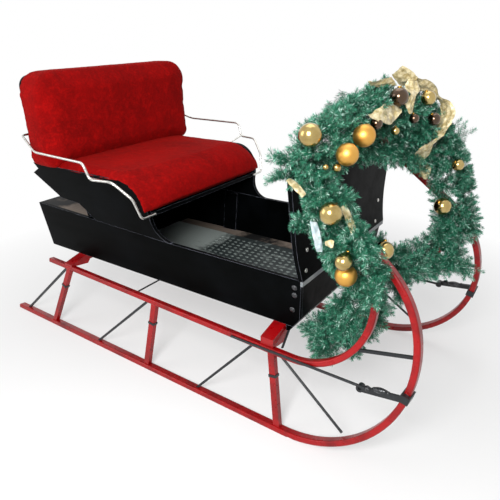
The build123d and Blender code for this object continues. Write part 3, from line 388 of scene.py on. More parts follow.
# each cushion's node, the axis of its thickness, and how far in mm its velvet stands out of the node's box:
# behind, at the right and below, then in front, at the left and above
CUSHIONS = (
    ("seat_cushion", (0, 0, 1), (-0.4, 0, -0.4), (2, 0, 10)),
    ("back_cushion", (1, 0, 0), (-0.4, 15, 23.6), (14, 15, 7)),
)
CUSHION_SWELL = 24 * MM      # the most that its filling presses the cover out
CUSHION_INSET = 5 * MM       # the cover starts this much smaller than its filling, and then swells
CUSHION_GIVE = 0.2           # share of its sideways movement that the tight cover allows
CUSHION_VOXEL = 8 * MM
CUSHION_SMOOTHING, CUSHION_ROUNDS = 0.5, 5
CUSHION_PRESSURE = 4.0
CUSHION_FRAMES = 20
CUSHION_STEPS = 2            # of the cloth in each frame
CRUSH_DEPTH = 1.6 * MM       # the pile's relief, with broad and fine folds
CRUSH_BROAD, CRUSH_FINE = 45 * MM, 16 * MM
SIDE_SUNK = 20 * MM          # how far the seat's left side has sunk
CORNER_DRAWN = (26 * MM, 4 * MM)    # how far the seat's front corners are drawn in: left, right


def evaluated(piece):
    """The piece's mesh with its modifiers applied."""
    depsgraph = bpy.context.evaluated_depsgraph_get()
    depsgraph.update()
    return bpy.data.meshes.new_from_object(piece.evaluated_get(depsgraph))


def vertex_array(mesh):
    """The places of a mesh's vertices as an array."""
    values = np.zeros(len(mesh.vertices) * 3, np.float32)
    mesh.vertices.foreach_get("co", values)
    return values.reshape(-1, 3).astype(float)


def normal_array(mesh):
    """The normals of a mesh's vertices as an array."""
    return np.array([tuple(vertex.normal) for vertex in mesh.vertices])


def set_places(mesh, places):
    """Moves a mesh's vertices to new places."""
    mesh.vertices.foreach_set("co", places.astype(np.float32).ravel())
    mesh.update()


def crush_relief(place):
    """Height of the crushed pile at a place, from -1 to 1."""
    broad = mathutils.noise.noise(Vector(place) / CRUSH_BROAD)
    fine = mathutils.noise.noise(Vector(place) / CRUSH_FINE + Vector((7, 3, 5)))
    return 0.6 * broad + 0.4 * fine


def swollen(piece, places, thick_axis):
    """Places of a cover after its filling has pressed it out, mostly along its thickness."""
    cloth = piece.modifiers.new("cloth", "CLOTH")
    cloth.settings.use_pressure = True
    cloth.settings.uniform_pressure_force = CUSHION_PRESSURE
    cloth.settings.effector_weights.gravity = 0
    cloth.settings.quality = CUSHION_STEPS
    cloth.collision_settings.use_collision = False
    for number in range(1, CUSHION_FRAMES + 1):
        bpy.context.scene.frame_set(number)
    result = evaluated(piece)
    piece.modifiers.clear()
    bpy.context.scene.frame_set(1)
    moved = vertex_array(result) - places
    straight = np.outer(moved @ thick_axis, thick_axis)
    moved = straight + (moved - straight) * CUSHION_GIVE
    far = np.linalg.norm(moved, axis=1)[:, None] + 1e-9
    return places + moved / far * CUSHION_SWELL * np.tanh(far / CUSHION_SWELL)


def sunk_corners(places, low, high):
    """The seat cushion's places with its left side sunk and its front corners drawn in."""
    side = (places[:, 1] - low[1]) / (high[1] - low[1]) * 2 - 1
    forward, rise = ((places[:, axis] - low[axis]) / (high[axis] - low[axis]) for axis in (0, 2))
    left, right = np.clip(side, 0, 1), np.clip(-side, 0, 1)
    places = places.copy()
    places[:, 2] -= rise * SIDE_SUNK * left ** 4
    places[:, 0] -= forward ** 3 * (CORNER_DRAWN[0] * left ** 7 + CORNER_DRAWN[1] * right ** 7)
    return places


def stuffed(node, thick_axis, low, high):
    """A velvet cushion that swells round its filling and fills its box."""
    piece = add_piece(f"{node}_velvet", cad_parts[node].data.copy(), None)
    piece.data.materials.clear()
    voxels = piece.modifiers.new("voxels", "REMESH")
    voxels.mode = "VOXEL"
    voxels.voxel_size = CUSHION_VOXEL
    soften = piece.modifiers.new("soften", "SMOOTH")
    soften.factor = CUSHION_SMOOTHING
    soften.iterations = CUSHION_ROUNDS
    piece.data = evaluated(piece)
    piece.modifiers.clear()
    places = vertex_array(piece.data) - normal_array(piece.data) * CUSHION_INSET
    set_places(piece.data, places)
    places = swollen(piece, places, thick_axis)
    # stretched back to the box's full width and depth, and held inside its thickness
    start, end = places.min(axis=0), places.max(axis=0)
    full = low + (places - start) / (end - start) * (high - low)
    places = np.where(thick_axis > 0.5, np.clip(places, low, high), full)
    if node == "seat_cushion":
        places = sunk_corners(places, low, high)
    set_places(piece.data, places)
    relief = np.array([crush_relief(place) for place in places])
    places = places + normal_array(piece.data) * (relief * CRUSH_DEPTH)[:, None]
    set_places(piece.data, np.clip(places, low, high))
    piece.data.materials.append(VELVET)
    piece.data.shade_smooth()
    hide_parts(node)


def make_cushions():
    """The seat's cushion and the one against its back."""
    for node, thick_axis, behind, in_front in CUSHIONS:
        low, high = (np.array(corner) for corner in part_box(node))
        stuffed(node, np.array(thick_axis), low - np.array(behind) * MM, high + np.array(in_front) * MM)


make_cushions()

# ---- garland -------------------------------------------------------------------------------

SPRIGS = 2700
SPRIG_KINDS = 8
SPRIG_LENGTH = 62 * MM
SPRIG_BEND = 12 * MM         # the most that a sprig's tip bends to each side
SPRIG_PROUD = 7 * MM         # how far a sprig's stem stands out of the solid garland
SPRIG_PROUD_SHARES = (0.3, 1.5)
SPRIG_LEAN = (0.7, 0.8, 0.30)       # how much of a sprig's way is straight out, from the middle, and by chance
NEEDLES_PER_SPRIG = 100
NEEDLE_WIDTH = 2.0 * MM      # the real ones are 1.2 mm wide, drawn wider so that they show
PAINTED_GLINT_SHARE = 0.07         # of the needles, painted near white as painted glints
TONE_SPREAD = 0.08           # how much lighter or darker a whole sprig is
GARLAND_STRETCHES = 4        # pieces that the sprigs are joined into, from the foot up
BRANCH_REACH = 120 * MM      # the garland's solid is about this thick, which tells where its middle lies
BRANCH_POINTS = 2500         # spread over the solid, to find its middle near each sprig
GOLDEN_ANGLE = math.pi * (3 - math.sqrt(5))

# planes that the garland is drawn in behind: direction, distance from the origin, lowest and highest place
DRAWN_IN = (
    ((-0.796, -0.545, -0.265), -0.6195, 0.62, 1.08),    # dash edge, upper
    ((-0.702, -0.569, -0.428), -0.6795, 0.62, 1.08),    # dash edge, middle
    ((-0.48, -0.585, -0.654), -0.6574, 0.62, 1.08),     # dash edge, lower
    ((0.744, 0.288, 0.603), 1.5387, 0.9, 1.5),          # upper corner
    ((0.911, 0.261, 0.319), 1.4097, 0.8, 1.5),          # far side
    ((-0.497, -0.112, 0.861), 0.7685, 1.15, 1.5),       # top
)
DRAWN_IN_SHARE = 1.1         # of the way that a sprig stands out

# boughs that stand free of the rest: from, to, the way their sprigs point, and how many
LOOSE_BOUGHS = (
    ((888, -445, 989), (1016, -463, 894), (0.6, -0.45, 0.1), 52),      # over the near bow
    ((946, -498, 952), (1025, -494, 866), (0.3, -0.60, -0.2), 26),
    ((1032, -448, 835), (1042, -483, 722), (0.2, -0.80, -0.3), 48),
    ((867, -344, 1180), (904, -225, 1148), (0.2, -0.2, -0.9), 34),     # under the top
    ((904, -225, 1148), (933, -61, 1108), (0.2, -0.2, -0.9), 40),
    ((922, -24, 1099), (977, 158, 1029), (0.2, 0.0, -0.9), 50),
    ((884, -86, 1170), (907, 24, 1142), (0.1, 0.0, -0.9), 22),
    ((907, 24, 1142), (941, 152, 1086), (0.1, 0.0, -0.9), 22),
    ((1121, 106, 652), (1203, 136, 634), (0.6, 0.20, -0.5), 28),       # at the far lower corner
    ((1049, 182, 1092), (1077, 205, 1177), (0.3, 0.20, 0.9), 9),       # tips on their own
    ((893, -476, 1034), (905, -466, 1050), (0.9, 0.0, 0.2), 10),
    ((800, -530, 968), (784, -525, 962), (-0.9, -0.1, 0.0), 9),
)
LOOSE_SPREAD = 13 * MM       # how far a bough's sprigs lie off its line
LOOSE_LEAN = 0.35            # how much a loose sprig's way strays from its bough's


def sprig_kind(rng):
    """One sprig along +Z, round like a bottle brush: needles in a spiral, which close over its tip."""
    count = NEEDLES_PER_SPRIG
    share = (np.arange(count) + rng.random(count)) / count
    turn = np.arange(count) * GOLDEN_ANGLE + rng.normal(0, 0.25, count)
    # they lean 72 degrees from the stem at its foot, and 17 at its tip
    lean = np.radians(72 - 10 * share - 45 * share ** 6 + rng.normal(0, 8, count))
    # and are 20 mm long at its foot, and 16 mm at its tip
    length = (20 - 4 * share ** 3) * MM * rng.uniform(0.82, 1.06, count)
    direction = np.stack([np.sin(lean) * np.cos(turn), np.sin(lean) * np.sin(turn), np.cos(lean)], 1)
    across = np.cross(direction, (0, 0, 1))
    across /= np.linalg.norm(across, axis=1)[:, None] + 1e-9
    # each needle is twisted its own way about its length
    twist = rng.uniform(-0.9, 0.9, count)[:, None]
    across = across * np.cos(twist) + np.cross(direction, across) * np.sin(twist)
    root = np.zeros((count, 3))
    root[:, 2] = SPRIG_LENGTH * share
    middle = root + direction * length[:, None] * 0.5
    side = across * NEEDLE_WIDTH / 2
    points = np.stack([root, middle + side, root + direction * length[:, None], middle - side], 1)
    bend = rng.uniform(-SPRIG_BEND, SPRIG_BEND, 2)
    rise = np.clip(points[..., 2] / SPRIG_LENGTH, 0, 1.2) ** 2
    points[..., 0] += rise * bend[0]
    points[..., 1] += rise * bend[1]
    # painted shade: the stem's foot is painted darker than its end, as it lies in the shade
    tone = np.clip(0.30 + 0.30 * share + rng.normal(0, 0.20, count), 0, 1)
    # a few needles painted near white, as painted glints
    tone[rng.random(count) < PAINTED_GLINT_SHARE] = 1.0
    return points.reshape(-1, 3), np.repeat(tone, 4)


def spread_over(mesh, count, rng):
    """Points spread evenly over a mesh's surface, with the normal at each."""
    mesh.calc_loop_triangles()
    corners = np.zeros(len(mesh.loop_triangles) * 3, np.int32)
    mesh.loop_triangles.foreach_get("vertices", corners)
    triangles = vertex_array(mesh)[corners.reshape(-1, 3)]
    normals = np.cross(triangles[:, 1] - triangles[:, 0], triangles[:, 2] - triangles[:, 0])
    areas = np.linalg.norm(normals, axis=1)
    picked = rng.choice(len(triangles), count, p=areas / areas.sum())
    first, second = np.sqrt(rng.random(count))[:, None], rng.random(count)[:, None]
    a, b, c = triangles[picked].transpose(1, 0, 2)
    points = (1 - first) * a + first * (1 - second) * b + first * second * c
    return points, normals[picked] / areas[picked][:, None]


def drawn_in(tip):
    """The tip, moved back behind the planes that hold the garland in."""
    for normal, reach, lowest, highest in DRAWN_IN:
        beyond = tip @ np.array(normal) - reach
        if beyond > 0 and lowest < tip[2] < highest:
            tip = tip - np.array(normal) * beyond * DRAWN_IN_SHARE
    return tip


def sprig_places(rng):
    """Tip and direction of each sprig: out of the solid garland, and away from its middle."""
    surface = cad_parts["garland"].data
    cloud, _ = spread_over(surface, BRANCH_POINTS, rng)
    spots, normals = spread_over(surface, SPRIGS, rng)
    places = []
    straight, outward, stray = SPRIG_LEAN
    for spot, normal in zip(spots, normals):
        near = cloud[np.linalg.norm(cloud - spot, axis=1) < BRANCH_REACH]
        away = spot - near.mean(axis=0)
        away /= np.linalg.norm(away) + 1e-9
        direction = straight * normal + outward * away + rng.normal(0, stray, 3)
        direction /= np.linalg.norm(direction)
        tip = drawn_in(spot + direction * SPRIG_PROUD * rng.uniform(*SPRIG_PROUD_SHARES))
        places.append((tip, direction))
    for start, end, lean, count in LOOSE_BOUGHS:
        start, end = np.array(start) * MM, np.array(end) * MM
        for share in (np.arange(count) + 0.5) / count:
            direction = np.array(lean) + rng.normal(0, LOOSE_LEAN, 3)
            direction /= np.linalg.norm(direction)
            middle = start + (end - start) * share + rng.normal(0, LOOSE_SPREAD, 3)
            places.append((middle + direction * SPRIG_LENGTH / 2, direction))
    return sorted(places, key=lambda place: place[0][2])


# the needles' colours by tone: the dark end is painted shade at the sprigs' feet, the near-white end is painted
# glints
NEEDLE_SHADE_TO_GLINT = ((0.0, "#072c1b"), (0.35, "#155a41"), (0.7, "#318768"), (0.97, "#6fb89c"), (1.0, "#d0ece2"))


def film_needles(tree, _):
    """PVC film needles, slit and curled: blue-green, shiny, some paler than others, darker at the sprigs' feet
    as painted shade, and a few painted near white as painted glints.
    """
    tone = add_node(tree, "ShaderNodeAttribute", output="Fac", attribute_name="tone")
    colour = add_node(tree, "ShaderNodeValToRGB", {"Fac": tone})
    stops = colour.node.color_ramp.elements
    stops.remove(stops[1])
    stops[0].color = linear(NEEDLE_SHADE_TO_GLINT[0][1])
    for share, code in NEEDLE_SHADE_TO_GLINT[1:]:
        stops.new(share).color = linear(code)
    return {"Base Color": colour, "Roughness": 0.38, "Specular IOR Level": 0.55}


def quads_mesh(name, points, tones):
    """A mesh of separate quads from their corners in order, with a tone for each corner."""
    mesh = bpy.data.meshes.new(name)
    count = len(points)
    mesh.vertices.add(count)
    mesh.vertices.foreach_set("co", points.astype(np.float32).ravel())
    mesh.loops.add(count)
    mesh.loops.foreach_set("vertex_index", np.arange(count, dtype=np.int32))
    mesh.polygons.add(count // 4)
    mesh.polygons.foreach_set("loop_start", np.arange(0, count, 4, dtype=np.int32))
    mesh.update(calc_edges=True)
    mesh.attributes.new("tone", "FLOAT", "POINT").data.foreach_set("value", tones.astype(np.float32))
    return mesh


def make_garland():
    """Needle sprigs all over the garland's branches, in a few joined stretches."""
    rng = np.random.default_rng(7)
    kinds = [sprig_kind(rng) for _ in range(SPRIG_KINDS)]
    places = sprig_places(rng)
    material = make_material("pvc_film_needles", film_needles)
    for number, stretch in enumerate(np.array_split(np.arange(len(places)), GARLAND_STRETCHES)):
        points, tones = [], []
        for index in stretch:
            tip, direction = places[index]
            shape, tone = kinds[rng.integers(SPRIG_KINDS)]
            turn = (Vector(direction).to_track_quat("Z", "Y")
                    @ Quaternion((0, 0, 1), rng.uniform(0, 2 * math.pi)))
            start = tip - direction * SPRIG_LENGTH
            points.append(shape @ np.array(turn.to_matrix()).T + start)
            tones.append(np.clip(tone + rng.normal(0, TONE_SPREAD), 0, 1))
        mesh = quads_mesh(f"garland_boughs_{number + 1}", np.concatenate(points), np.concatenate(tones))
        piece = add_piece(mesh.name, mesh, material, smooth=False)
        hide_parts("garland")


make_garland()

# ---- balls ---------------------------------------------------------------------------------

# two balls that hang further out than the rest: middle and radius in metres
OUTER_BALLS = (
    ((0.826, -0.556, 1.254), 0.0360),
    ((0.897, -0.541, 1.017), 0.0370),
)
DROP_NARROWS, DROP_TALLER = 0.30, 1.35
AXIS_GAP = 1e-6              # a profile starts this far from its axis, and its ring there becomes one point


def ball_gold(tree, at, base, shade, rough, coat):
    """Metallised lacquer on blown plastic, or its stamped brass cap: a metal's shine with faint clouds."""
    clouds = add_node(tree, "ShaderNodeTexNoise", {
        "Vector": at, "Scale": 1 / (30 * MM), "Detail": 2, "Roughness": 0.5})
    return {
        "Base Color": add_node(tree, "ShaderNodeMix", {0: clouds, 6: base, 7: shade}, **COLOURS),
        "Metallic": 1.0,
        "Roughness": rough,
        "Coat Weight": coat}


def turned(name, profile, material, at, axis, steps=36):
    """A shape turned round its axis from a profile of radius and height."""
    shape = bmesh.new()
    circle = [(math.cos(2 * math.pi * k / steps), math.sin(2 * math.pi * k / steps)) for k in range(steps)]
    rings = [[shape.verts.new((radius * c, radius * s, height)) for c, s in circle]
             for radius, height in profile]
    for low, high in zip(rings[:-1], rings[1:]):
        for k in range(steps):
            shape.faces.new((low[k], low[(k + 1) % steps], high[(k + 1) % steps], high[k]))
    bmesh.ops.remove_doubles(shape, verts=shape.verts, dist=AXIS_GAP)
    bmesh.ops.recalc_face_normals(shape, faces=shape.faces)
    turn = Vector(axis).to_track_quat("Z", "Y").to_matrix().to_4x4()
    shape.transform(Matrix.Translation(at) @ turn)
    mesh = bpy.data.meshes.new(name)
    shape.to_mesh(mesh)
    shape.free()
    return add_piece(name, mesh, material)


def ball_profile(radius, drop):
    """Half outline of a ball, from its foot to its cap. A drop is taller, and narrows towards its cap."""
    outline = [(radius * math.sin(a) + AXIS_GAP, -radius * math.cos(a)) for a in np.linspace(0, math.pi, 25)]
    if drop:
        outline = [(r * (1 - DROP_NARROWS * max(0, h / radius)), h * (1.0 if h < 0 else DROP_TALLER))
                   for r, h in outline]
    return outline


def cap_profile(radius, top):
    """Half outline of the round stamped cap on a ball's top."""
    low, high = top - 0.06 * radius, top + 0.12 * radius
    return [(AXIS_GAP, high), (0.20 * radius, high), (0.24 * radius, low), (AXIS_GAP, low)]


def solid_balls(node):
    """Middle and radius of each separate ball in a CAD node."""
    shape = bmesh.new()
    shape.from_mesh(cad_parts[node].data)
    waiting = set(shape.verts)
    found = []
    while waiting:
        island, edge = set(), {waiting.pop()}
        while edge:
            island |= edge
            edge = {other for vertex in edge for link in vertex.link_edges
                    for other in link.verts} - island
        waiting -= island
        corners = np.array([tuple(vertex.co) for vertex in island])
        low, high = corners.min(axis=0), corners.max(axis=0)
        found.append((tuple((low + high) / 2), float((high - low).max() / 2)))
    shape.free()
    return sorted(found)


def make_balls():
    """The garland's balls with their caps, hung so that their caps point up into it."""
    bright = make_material("gold_lacquer_bright", ball_gold, "#cdb878", "#97793a", 0.20, 0.6)
    satin = make_material("gold_lacquer_satin", ball_gold, "#e6b460", "#cc9440", 0.42, 0.0)
    bronze = make_material("bronze_lacquer_bright", ball_gold, "#5c4022", "#36230f", 0.14, 1.0)
    brass = make_material("brass_stamped", ball_gold, "#caa04a", "#a87c2c", 0.25, 0.0)
    middle = vertex_array(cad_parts["garland"].data).mean(axis=0)
    for node, material, slot, more in (
            ("balls_bright", bright, "gold_bright", OUTER_BALLS),
            ("ball_drop", bright, "gold_bright", ()),
            ("balls_satin", satin, "gold_satin", ()),
            ("balls_bronze", bronze, "bronze_bright", ())):
        for number, (at, radius) in enumerate([*solid_balls(node), *more]):
            axis = (middle - np.array(at)) * (0.3, 0.3, 0.0) + (0, 0, 0.08)
            profile = ball_profile(radius, node == "ball_drop")
            ball = turned(f"{node}_{number + 1}", profile, material, at, axis)
            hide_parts(node)
            cap = cap_profile(radius, profile[-1][1])
            turned(f"{node}_cap_{number + 1}", cap, brass, at, axis, 18)


make_balls()

# ---- ironwork ------------------------------------------------------------------------------

# places of the snap heads on the dash, and of the bolts through the left corner iron
DASH_RIVETS = ((0.7105, 0.349, 0.781), (0.7225, 0.303, 0.691),
               (0.7105, -0.344, 0.778), (0.7205, -0.366, 0.702))
CORNER_BOLTS = ((0.684, 0.3885, 0.628), (0.682, 0.3840, 0.592), (0.667, 0.3730, 0.517))
DASH_OUT = (1, 0, 0.12)      # the way that the dash's rivets point
HEAD_RADIUS, HEAD_HEIGHT = 8.5 * MM, 3.6 * MM
BOLT_FLANGE = ((12 * MM, 0.0), (12 * MM, 1.6 * MM), (9.5 * MM, 2.4 * MM))

# profiles of the couplings' knobs and nuts, in mm
KNOB = ((11, 0), (11, 5), (9, 6), (9, 11), (6, 14), (0, 15))
NUT = ((8, 0), (8, 5), (5.5, 6), (5.5, 9), (0, 10))
KNOB_AT, NUT_AT = (1.044, 0.482, 0.372), (1.118, 0.478, 0.381)     # at the left
LINK_ENDS = ((1.060, 0.480, 0.374), (1.112, 0.476, 0.380))
LINK_WIDTH, LINK_BULGE = 13 * MM, 9 * MM
LINK_SIDES = 16
LINK_SQUARENESS = 3.0        # 2 is round, and more is squarer
SIDES = ((1, "left"), (-1, "right"))


def make_rivets():
    """Round snap heads that hold the dash, and carriage bolts through the front corner irons."""
    head = [(HEAD_RADIUS * math.sin(a) + AXIS_GAP, HEAD_HEIGHT * math.cos(a))
            for a in np.linspace(math.pi / 2, 0, 7)]
    for number, at in enumerate(DASH_RIVETS):
        turned(f"dash_rivet_{number + 1}", head, NICKEL, at, DASH_OUT, steps=20)
    bolt = [*BOLT_FLANGE, *((radius, height + BOLT_FLANGE[-1][1]) for radius, height in head)]
    for side, name in SIDES:
        for number, (x, y, z) in enumerate(CORNER_BOLTS):
            turned(f"corner_bolt_{name}_{number + 1}", bolt, WORN_IRON, (x, side * y, z),
                   (0, side * 0.99, -0.15), steps=20)


def bulged_link(name, path, widths):
    """A forged link with rounded corners along a path, as high as it is wide at each point."""
    along = np.gradient(path, axis=0)
    along /= np.linalg.norm(along, axis=1)[:, None]
    across = np.array((0.0, 1.0, 0.0)) - along[:, 1:2] * along
    across /= np.linalg.norm(across, axis=1)[:, None]
    rise = np.cross(along, across)
    angles = 2 * math.pi * (np.arange(LINK_SIDES) + 0.5) / LINK_SIDES
    outline = np.stack([np.cos(angles), np.sin(angles)], 1)
    outline /= (np.abs(outline) ** LINK_SQUARENESS).sum(axis=1)[:, None] ** (1 / LINK_SQUARENESS)
    rings = path[:, None] + widths[:, None, None] / 2 * (
        across[:, None] * outline[None, :, :1] + rise[:, None] * outline[None, :, 1:])
    faces = [tuple(range(LINK_SIDES))[::-1], tuple(range(rings.size // 3 - LINK_SIDES, rings.size // 3))]
    for low in range(0, rings.size // 3 - LINK_SIDES, LINK_SIDES):
        for k in range(LINK_SIDES):
            turn, high = (k + 1) % LINK_SIDES, low + LINK_SIDES
            faces.append((low + k, low + turn, high + turn, high + k))
    mesh = bpy.data.meshes.new(name)
    mesh.from_pydata([tuple(point) for point in rings.reshape(-1, 3)], [], faces)
    add_piece(name, mesh, WORN_IRON)


def make_couplings():
    """What is bolted to the shaft couplings: a knob at the draft rod, a bulged link and a clip bolt."""
    knob, nut = ([(max(radius * MM, AXIS_GAP), height * MM) for radius, height in profile]
                 for profile in (KNOB, NUT))
    shares = np.linspace(0, 1, 9)
    for side, name in SIDES:
        knob_at, nut_at, start, end = (np.array(place) * (1, side, 1) for place in (KNOB_AT, NUT_AT, *LINK_ENDS))
        out = (0, side, 0.15)
        turned(f"coupling_knob_{name}", knob, WORN_IRON, knob_at, out, steps=24)
        turned(f"coupling_nut_{name}", nut, WORN_IRON, nut_at, out, steps=6)
        path = start + (end - start) * shares[:, None]
        bulged_link(f"coupling_link_{name}", path, LINK_WIDTH + LINK_BULGE * np.sin(math.pi * shares))


make_rivets()
make_couplings()

# ---- ribbon --------------------------------------------------------------------------------

RIBBON_STEP = 5 * MM         # length of one row of the ribbon's mesh
RIBBON_COLUMNS = 13
RIBBON_PLEAT = 2.5 * MM      # height of its lengthwise pleats
RIBBON_PLEATS = 5            # ridges and hollows across its full width
RIBBON_PLEAT_DRIFT = 0.09    # how far the pleats wander in each row
RIBBON_CURL = 4 * MM         # how far its edges curl back
RIBBON_RUMPLE, RIBBON_RUMPLE_SIZE = 4 * MM, 22 * MM
RIBBON_WIDEN = 1.3           # its rows are this much wider than the table's, whose edges lie inside its own
RIBBON_FULL = 55 * MM        # a strand narrower than this has fewer and lower pleats

# the ribbon's strands: a name, and the left and right edge in mm at points along it
STRANDS = (
    ("tail_left", (
        ((844, -188, 1370), (839, -161, 1355)),
        ((861, -165, 1371), (859, -139, 1354)),
        ((879, -148, 1376), (881, -122, 1355)),
        ((889, -129, 1378), (893, -103, 1355)),
        ((897, -111, 1381), (906, -85, 1357)),
    )),
    ("peak", (
        ((888, -87, 1389), (920, -101, 1415)),
        ((898, -77, 1375), (939, -82, 1400)),
        ((908, -60, 1360), (952, -62, 1385)),
        ((915, -36, 1348), (958, -41, 1370)),
    )),
    ("right_loop", (
        ((931, -53, 1384), (913, -32, 1355)),
        ((960, -1, 1365), (930, 10, 1331)),
        ((976, 23, 1361), (963, 44, 1325)),
        ((995, 47, 1342), (968, 66, 1316)),
        ((1000, 67, 1326), (974, 87, 1300)),
        ((1008, 85, 1301), (993, 114, 1291)),
        ((1040, 104, 1280), (1006, 123, 1270)),
        ((1062, 92, 1253), (1020, 106, 1243)),
        ((1063, 73, 1229), (1021, 85, 1215)),
        ((1055, 66, 1200), (1014, 78, 1185)),
        ((1035, 79, 1163), (997, 96, 1153)),
        ((1015, 81, 1138), (994, 109, 1134)),
    )),
    ("right_tail", (
        ((1019, 67, 1141), (1015, 34, 1150)),
        ((1032, 68, 1161), (1002, 38, 1139)),
        ((1007, 69, 1121), (977, 36, 1111)),
        ((989, 102, 1083), (955, 70, 1076)),
        ((973, 123, 1054), (962, 87, 1047)),
        ((983, 145, 1031), (964, 110, 1025)),
        ((994, 144, 1019), (972, 109, 1010)),
        ((994, 140, 992), (984, 105, 992)),
        ((987, 134, 976), (988, 102, 984)),
    )),
    ("strand_down", (
        ((939, -56, 1374), (952, -24, 1369)),
        ((942, -80, 1346), (972, -50, 1344)),
        ((969, -110, 1329), (973, -79, 1320)),
        ((963, -128, 1298), (976, -95, 1295)),
        ((977, -125, 1268), (973, -95, 1266)),
    )),
    ("left_loop", (
        ((897, -300, 1283), (916, -330, 1281)),
        ((916, -273, 1297), (930, -304, 1274)),
        ((926, -252, 1303), (941, -280, 1268)),
        ((927, -216, 1306), (948, -228, 1255)),
        ((932, -167, 1300), (948, -190, 1258)),
        ((945, -125, 1282), (957, -158, 1282)),
    )),
    ("bit1", (
        ((752, -565, 1111), (753, -547, 1112)),
        ((780, -579, 1098), (786, -560, 1103)),
        ((805, -584, 1084), (808, -566, 1091)),
        ((820, -582, 1069), (821, -563, 1074)),
    )),
    ("bit2", (
        ((914, -506, 1032), (919, -488, 1035)),
        ((920, -494, 1010), (928, -475, 1012)),
        ((924, -479, 982), (935, -461, 982)),
        ((946, -500, 967), (955, -482, 966)),
        ((960, -513, 952), (964, -495, 951)),
    )),
    ("bit3", (
        ((883, -544, 920), (880, -537, 907)),
        ((902, -547, 929), (904, -548, 909)),
        ((917, -549, 930), (914, -548, 911)),
    )),
    ("white", (
        ((845, -571, 991), (854, -553, 985)),
        ((851, -569, 966), (862, -551, 963)),
        ((855, -563, 934), (867, -545, 931)),
        ((857, -555, 904), (870, -537, 901)),
        ((860, -547, 881), (867, -530, 876)),
    )),
)


def foil_ribbon(tree, at, light, dark):
    """Crinkled metallic ribbon, woven of film: a satin shine that breaks up over its fine crinkles, painted in
    as lighter and darker patches of colour.
    """
    # painted highlights: the shine of the crinkles is mixed into the colour, light on some and dark on others
    crinkle_highlights = patches(tree, at, 16, 4, 0.6, (0.40, 0.62))
    return {
        "Base Color": add_node(tree, "ShaderNodeMix", {0: crinkle_highlights, 6: dark, 7: light}, **COLOURS),
        "Metallic": 0.15,
        "Roughness": 0.36,
        "Sheen Weight": 0.2,
        "Normal": uneven(tree, at, 5, 4, 0.65, 1.2, 0.6)}


def rounded_path(points, step):
    """Rows of a table as a smooth line with a point about every step, by Catmull and Rom's curve."""
    ends = np.concatenate([[2 * points[0] - points[1]], points, [2 * points[-1] - points[-2]]])
    rows = []
    for a, b, c, d in zip(ends[:-3], ends[1:-2], ends[2:-1], ends[3:]):
        span = np.linalg.norm((c - b).reshape(-1, 3).mean(axis=0))
        for t in np.arange(0, 1, 1 / max(1, round(span / step))):
            rows.append(0.5 * (2 * b + (c - a) * t + (2 * a - 5 * b + 4 * c - d) * t * t
                               + (3 * b - a - 3 * c + d) * t ** 3))
    return np.array(rows + [points[-1]])


def grid_mesh(name, grid):
    """A mesh from rows and columns of points."""
    rows, columns = grid.shape[:2]
    faces = [(low, low + 1, low + columns + 1, low + columns)
             for row in range(rows - 1) for low in range(row * columns, (row + 1) * columns - 1)]
    mesh = bpy.data.meshes.new(name)
    mesh.from_pydata([tuple(point) for point in grid.reshape(-1, 3)], [], faces)
    return mesh


def pleated(grid, normal, wide):
    """The rows and columns of a strand's points, moved along each row's normal into pleats and rumples."""
    across = np.linspace(0, 1, RIBBON_COLUMNS)
    for r, row in enumerate(grid):
        size = min(1.0, wide[r] / RIBBON_FULL)
        for c, point in enumerate(row):
            rumple = mathutils.noise.noise(Vector(point) / RIBBON_RUMPLE_SIZE)
            pleat = math.sin(across[c] * RIBBON_PLEATS * math.pi * size + 4 * rumple + r * RIBBON_PLEAT_DRIFT)
            curl = (2 * across[c] - 1) ** 2 * RIBBON_CURL
            grid[r, c] = point + normal[r] * size * (pleat * RIBBON_PLEAT + rumple * RIBBON_RUMPLE - curl)
    return grid


def make_ribbon():
    """The champagne ribbon, strand by strand, pleated and crinkled, lying on the needles."""
    champagne = make_material("ribbon_champagne_foil", foil_ribbon, "#e9dcb4", "#b3a06c")
    white = make_material("ribbon_pale_foil", foil_ribbon, "#dde7ec", "#b0c4cc")
    across = np.linspace(0, 1, RIBBON_COLUMNS)
    for name, edges in STRANDS:
        edges = rounded_path(np.array(edges, float).reshape(-1, 6) * MM, RIBBON_STEP).reshape(-1, 2, 3)
        middle, half = edges.mean(axis=1), (edges[:, 1] - edges[:, 0]) / 2 * RIBBON_WIDEN
        left, right = middle - half, middle + half
        grid = left[:, None] + (right - left)[:, None] * across[None, :, None]
        along = np.gradient(grid.mean(axis=1), axis=0)
        normal = np.cross(along, right - left)
        normal /= np.linalg.norm(normal, axis=1)[:, None] + 1e-9
        # the pleats rise on the side that is seen
        normal *= np.sign(((np.array(CAMERA_AT) - grid.mean(axis=1)) * normal).sum(axis=1))[:, None]
        grid = pleated(grid, normal, 2 * np.linalg.norm(half, axis=1))
        mesh = grid_mesh(f"ribbon_{name}", grid)
        piece = add_piece(mesh.name, mesh, white if name == "white" else champagne)


make_ribbon()

# ---- light, floor and camera ---------------------------------------------------------------

SURROUND_STRENGTH = 0.33     # of the light from all round, where 1 is white
FLOOR_HALF = 14.0
FLOOR_DROP = 0.5 * MM        # the floor lies this far below the runners, clear of their feet
WHITE_FROM, WHITE_TO = 1.3, 2.4     # metres from the middle between which the floor turns white
WHITE_LEAST = 0.45           # how white it is nearer than that


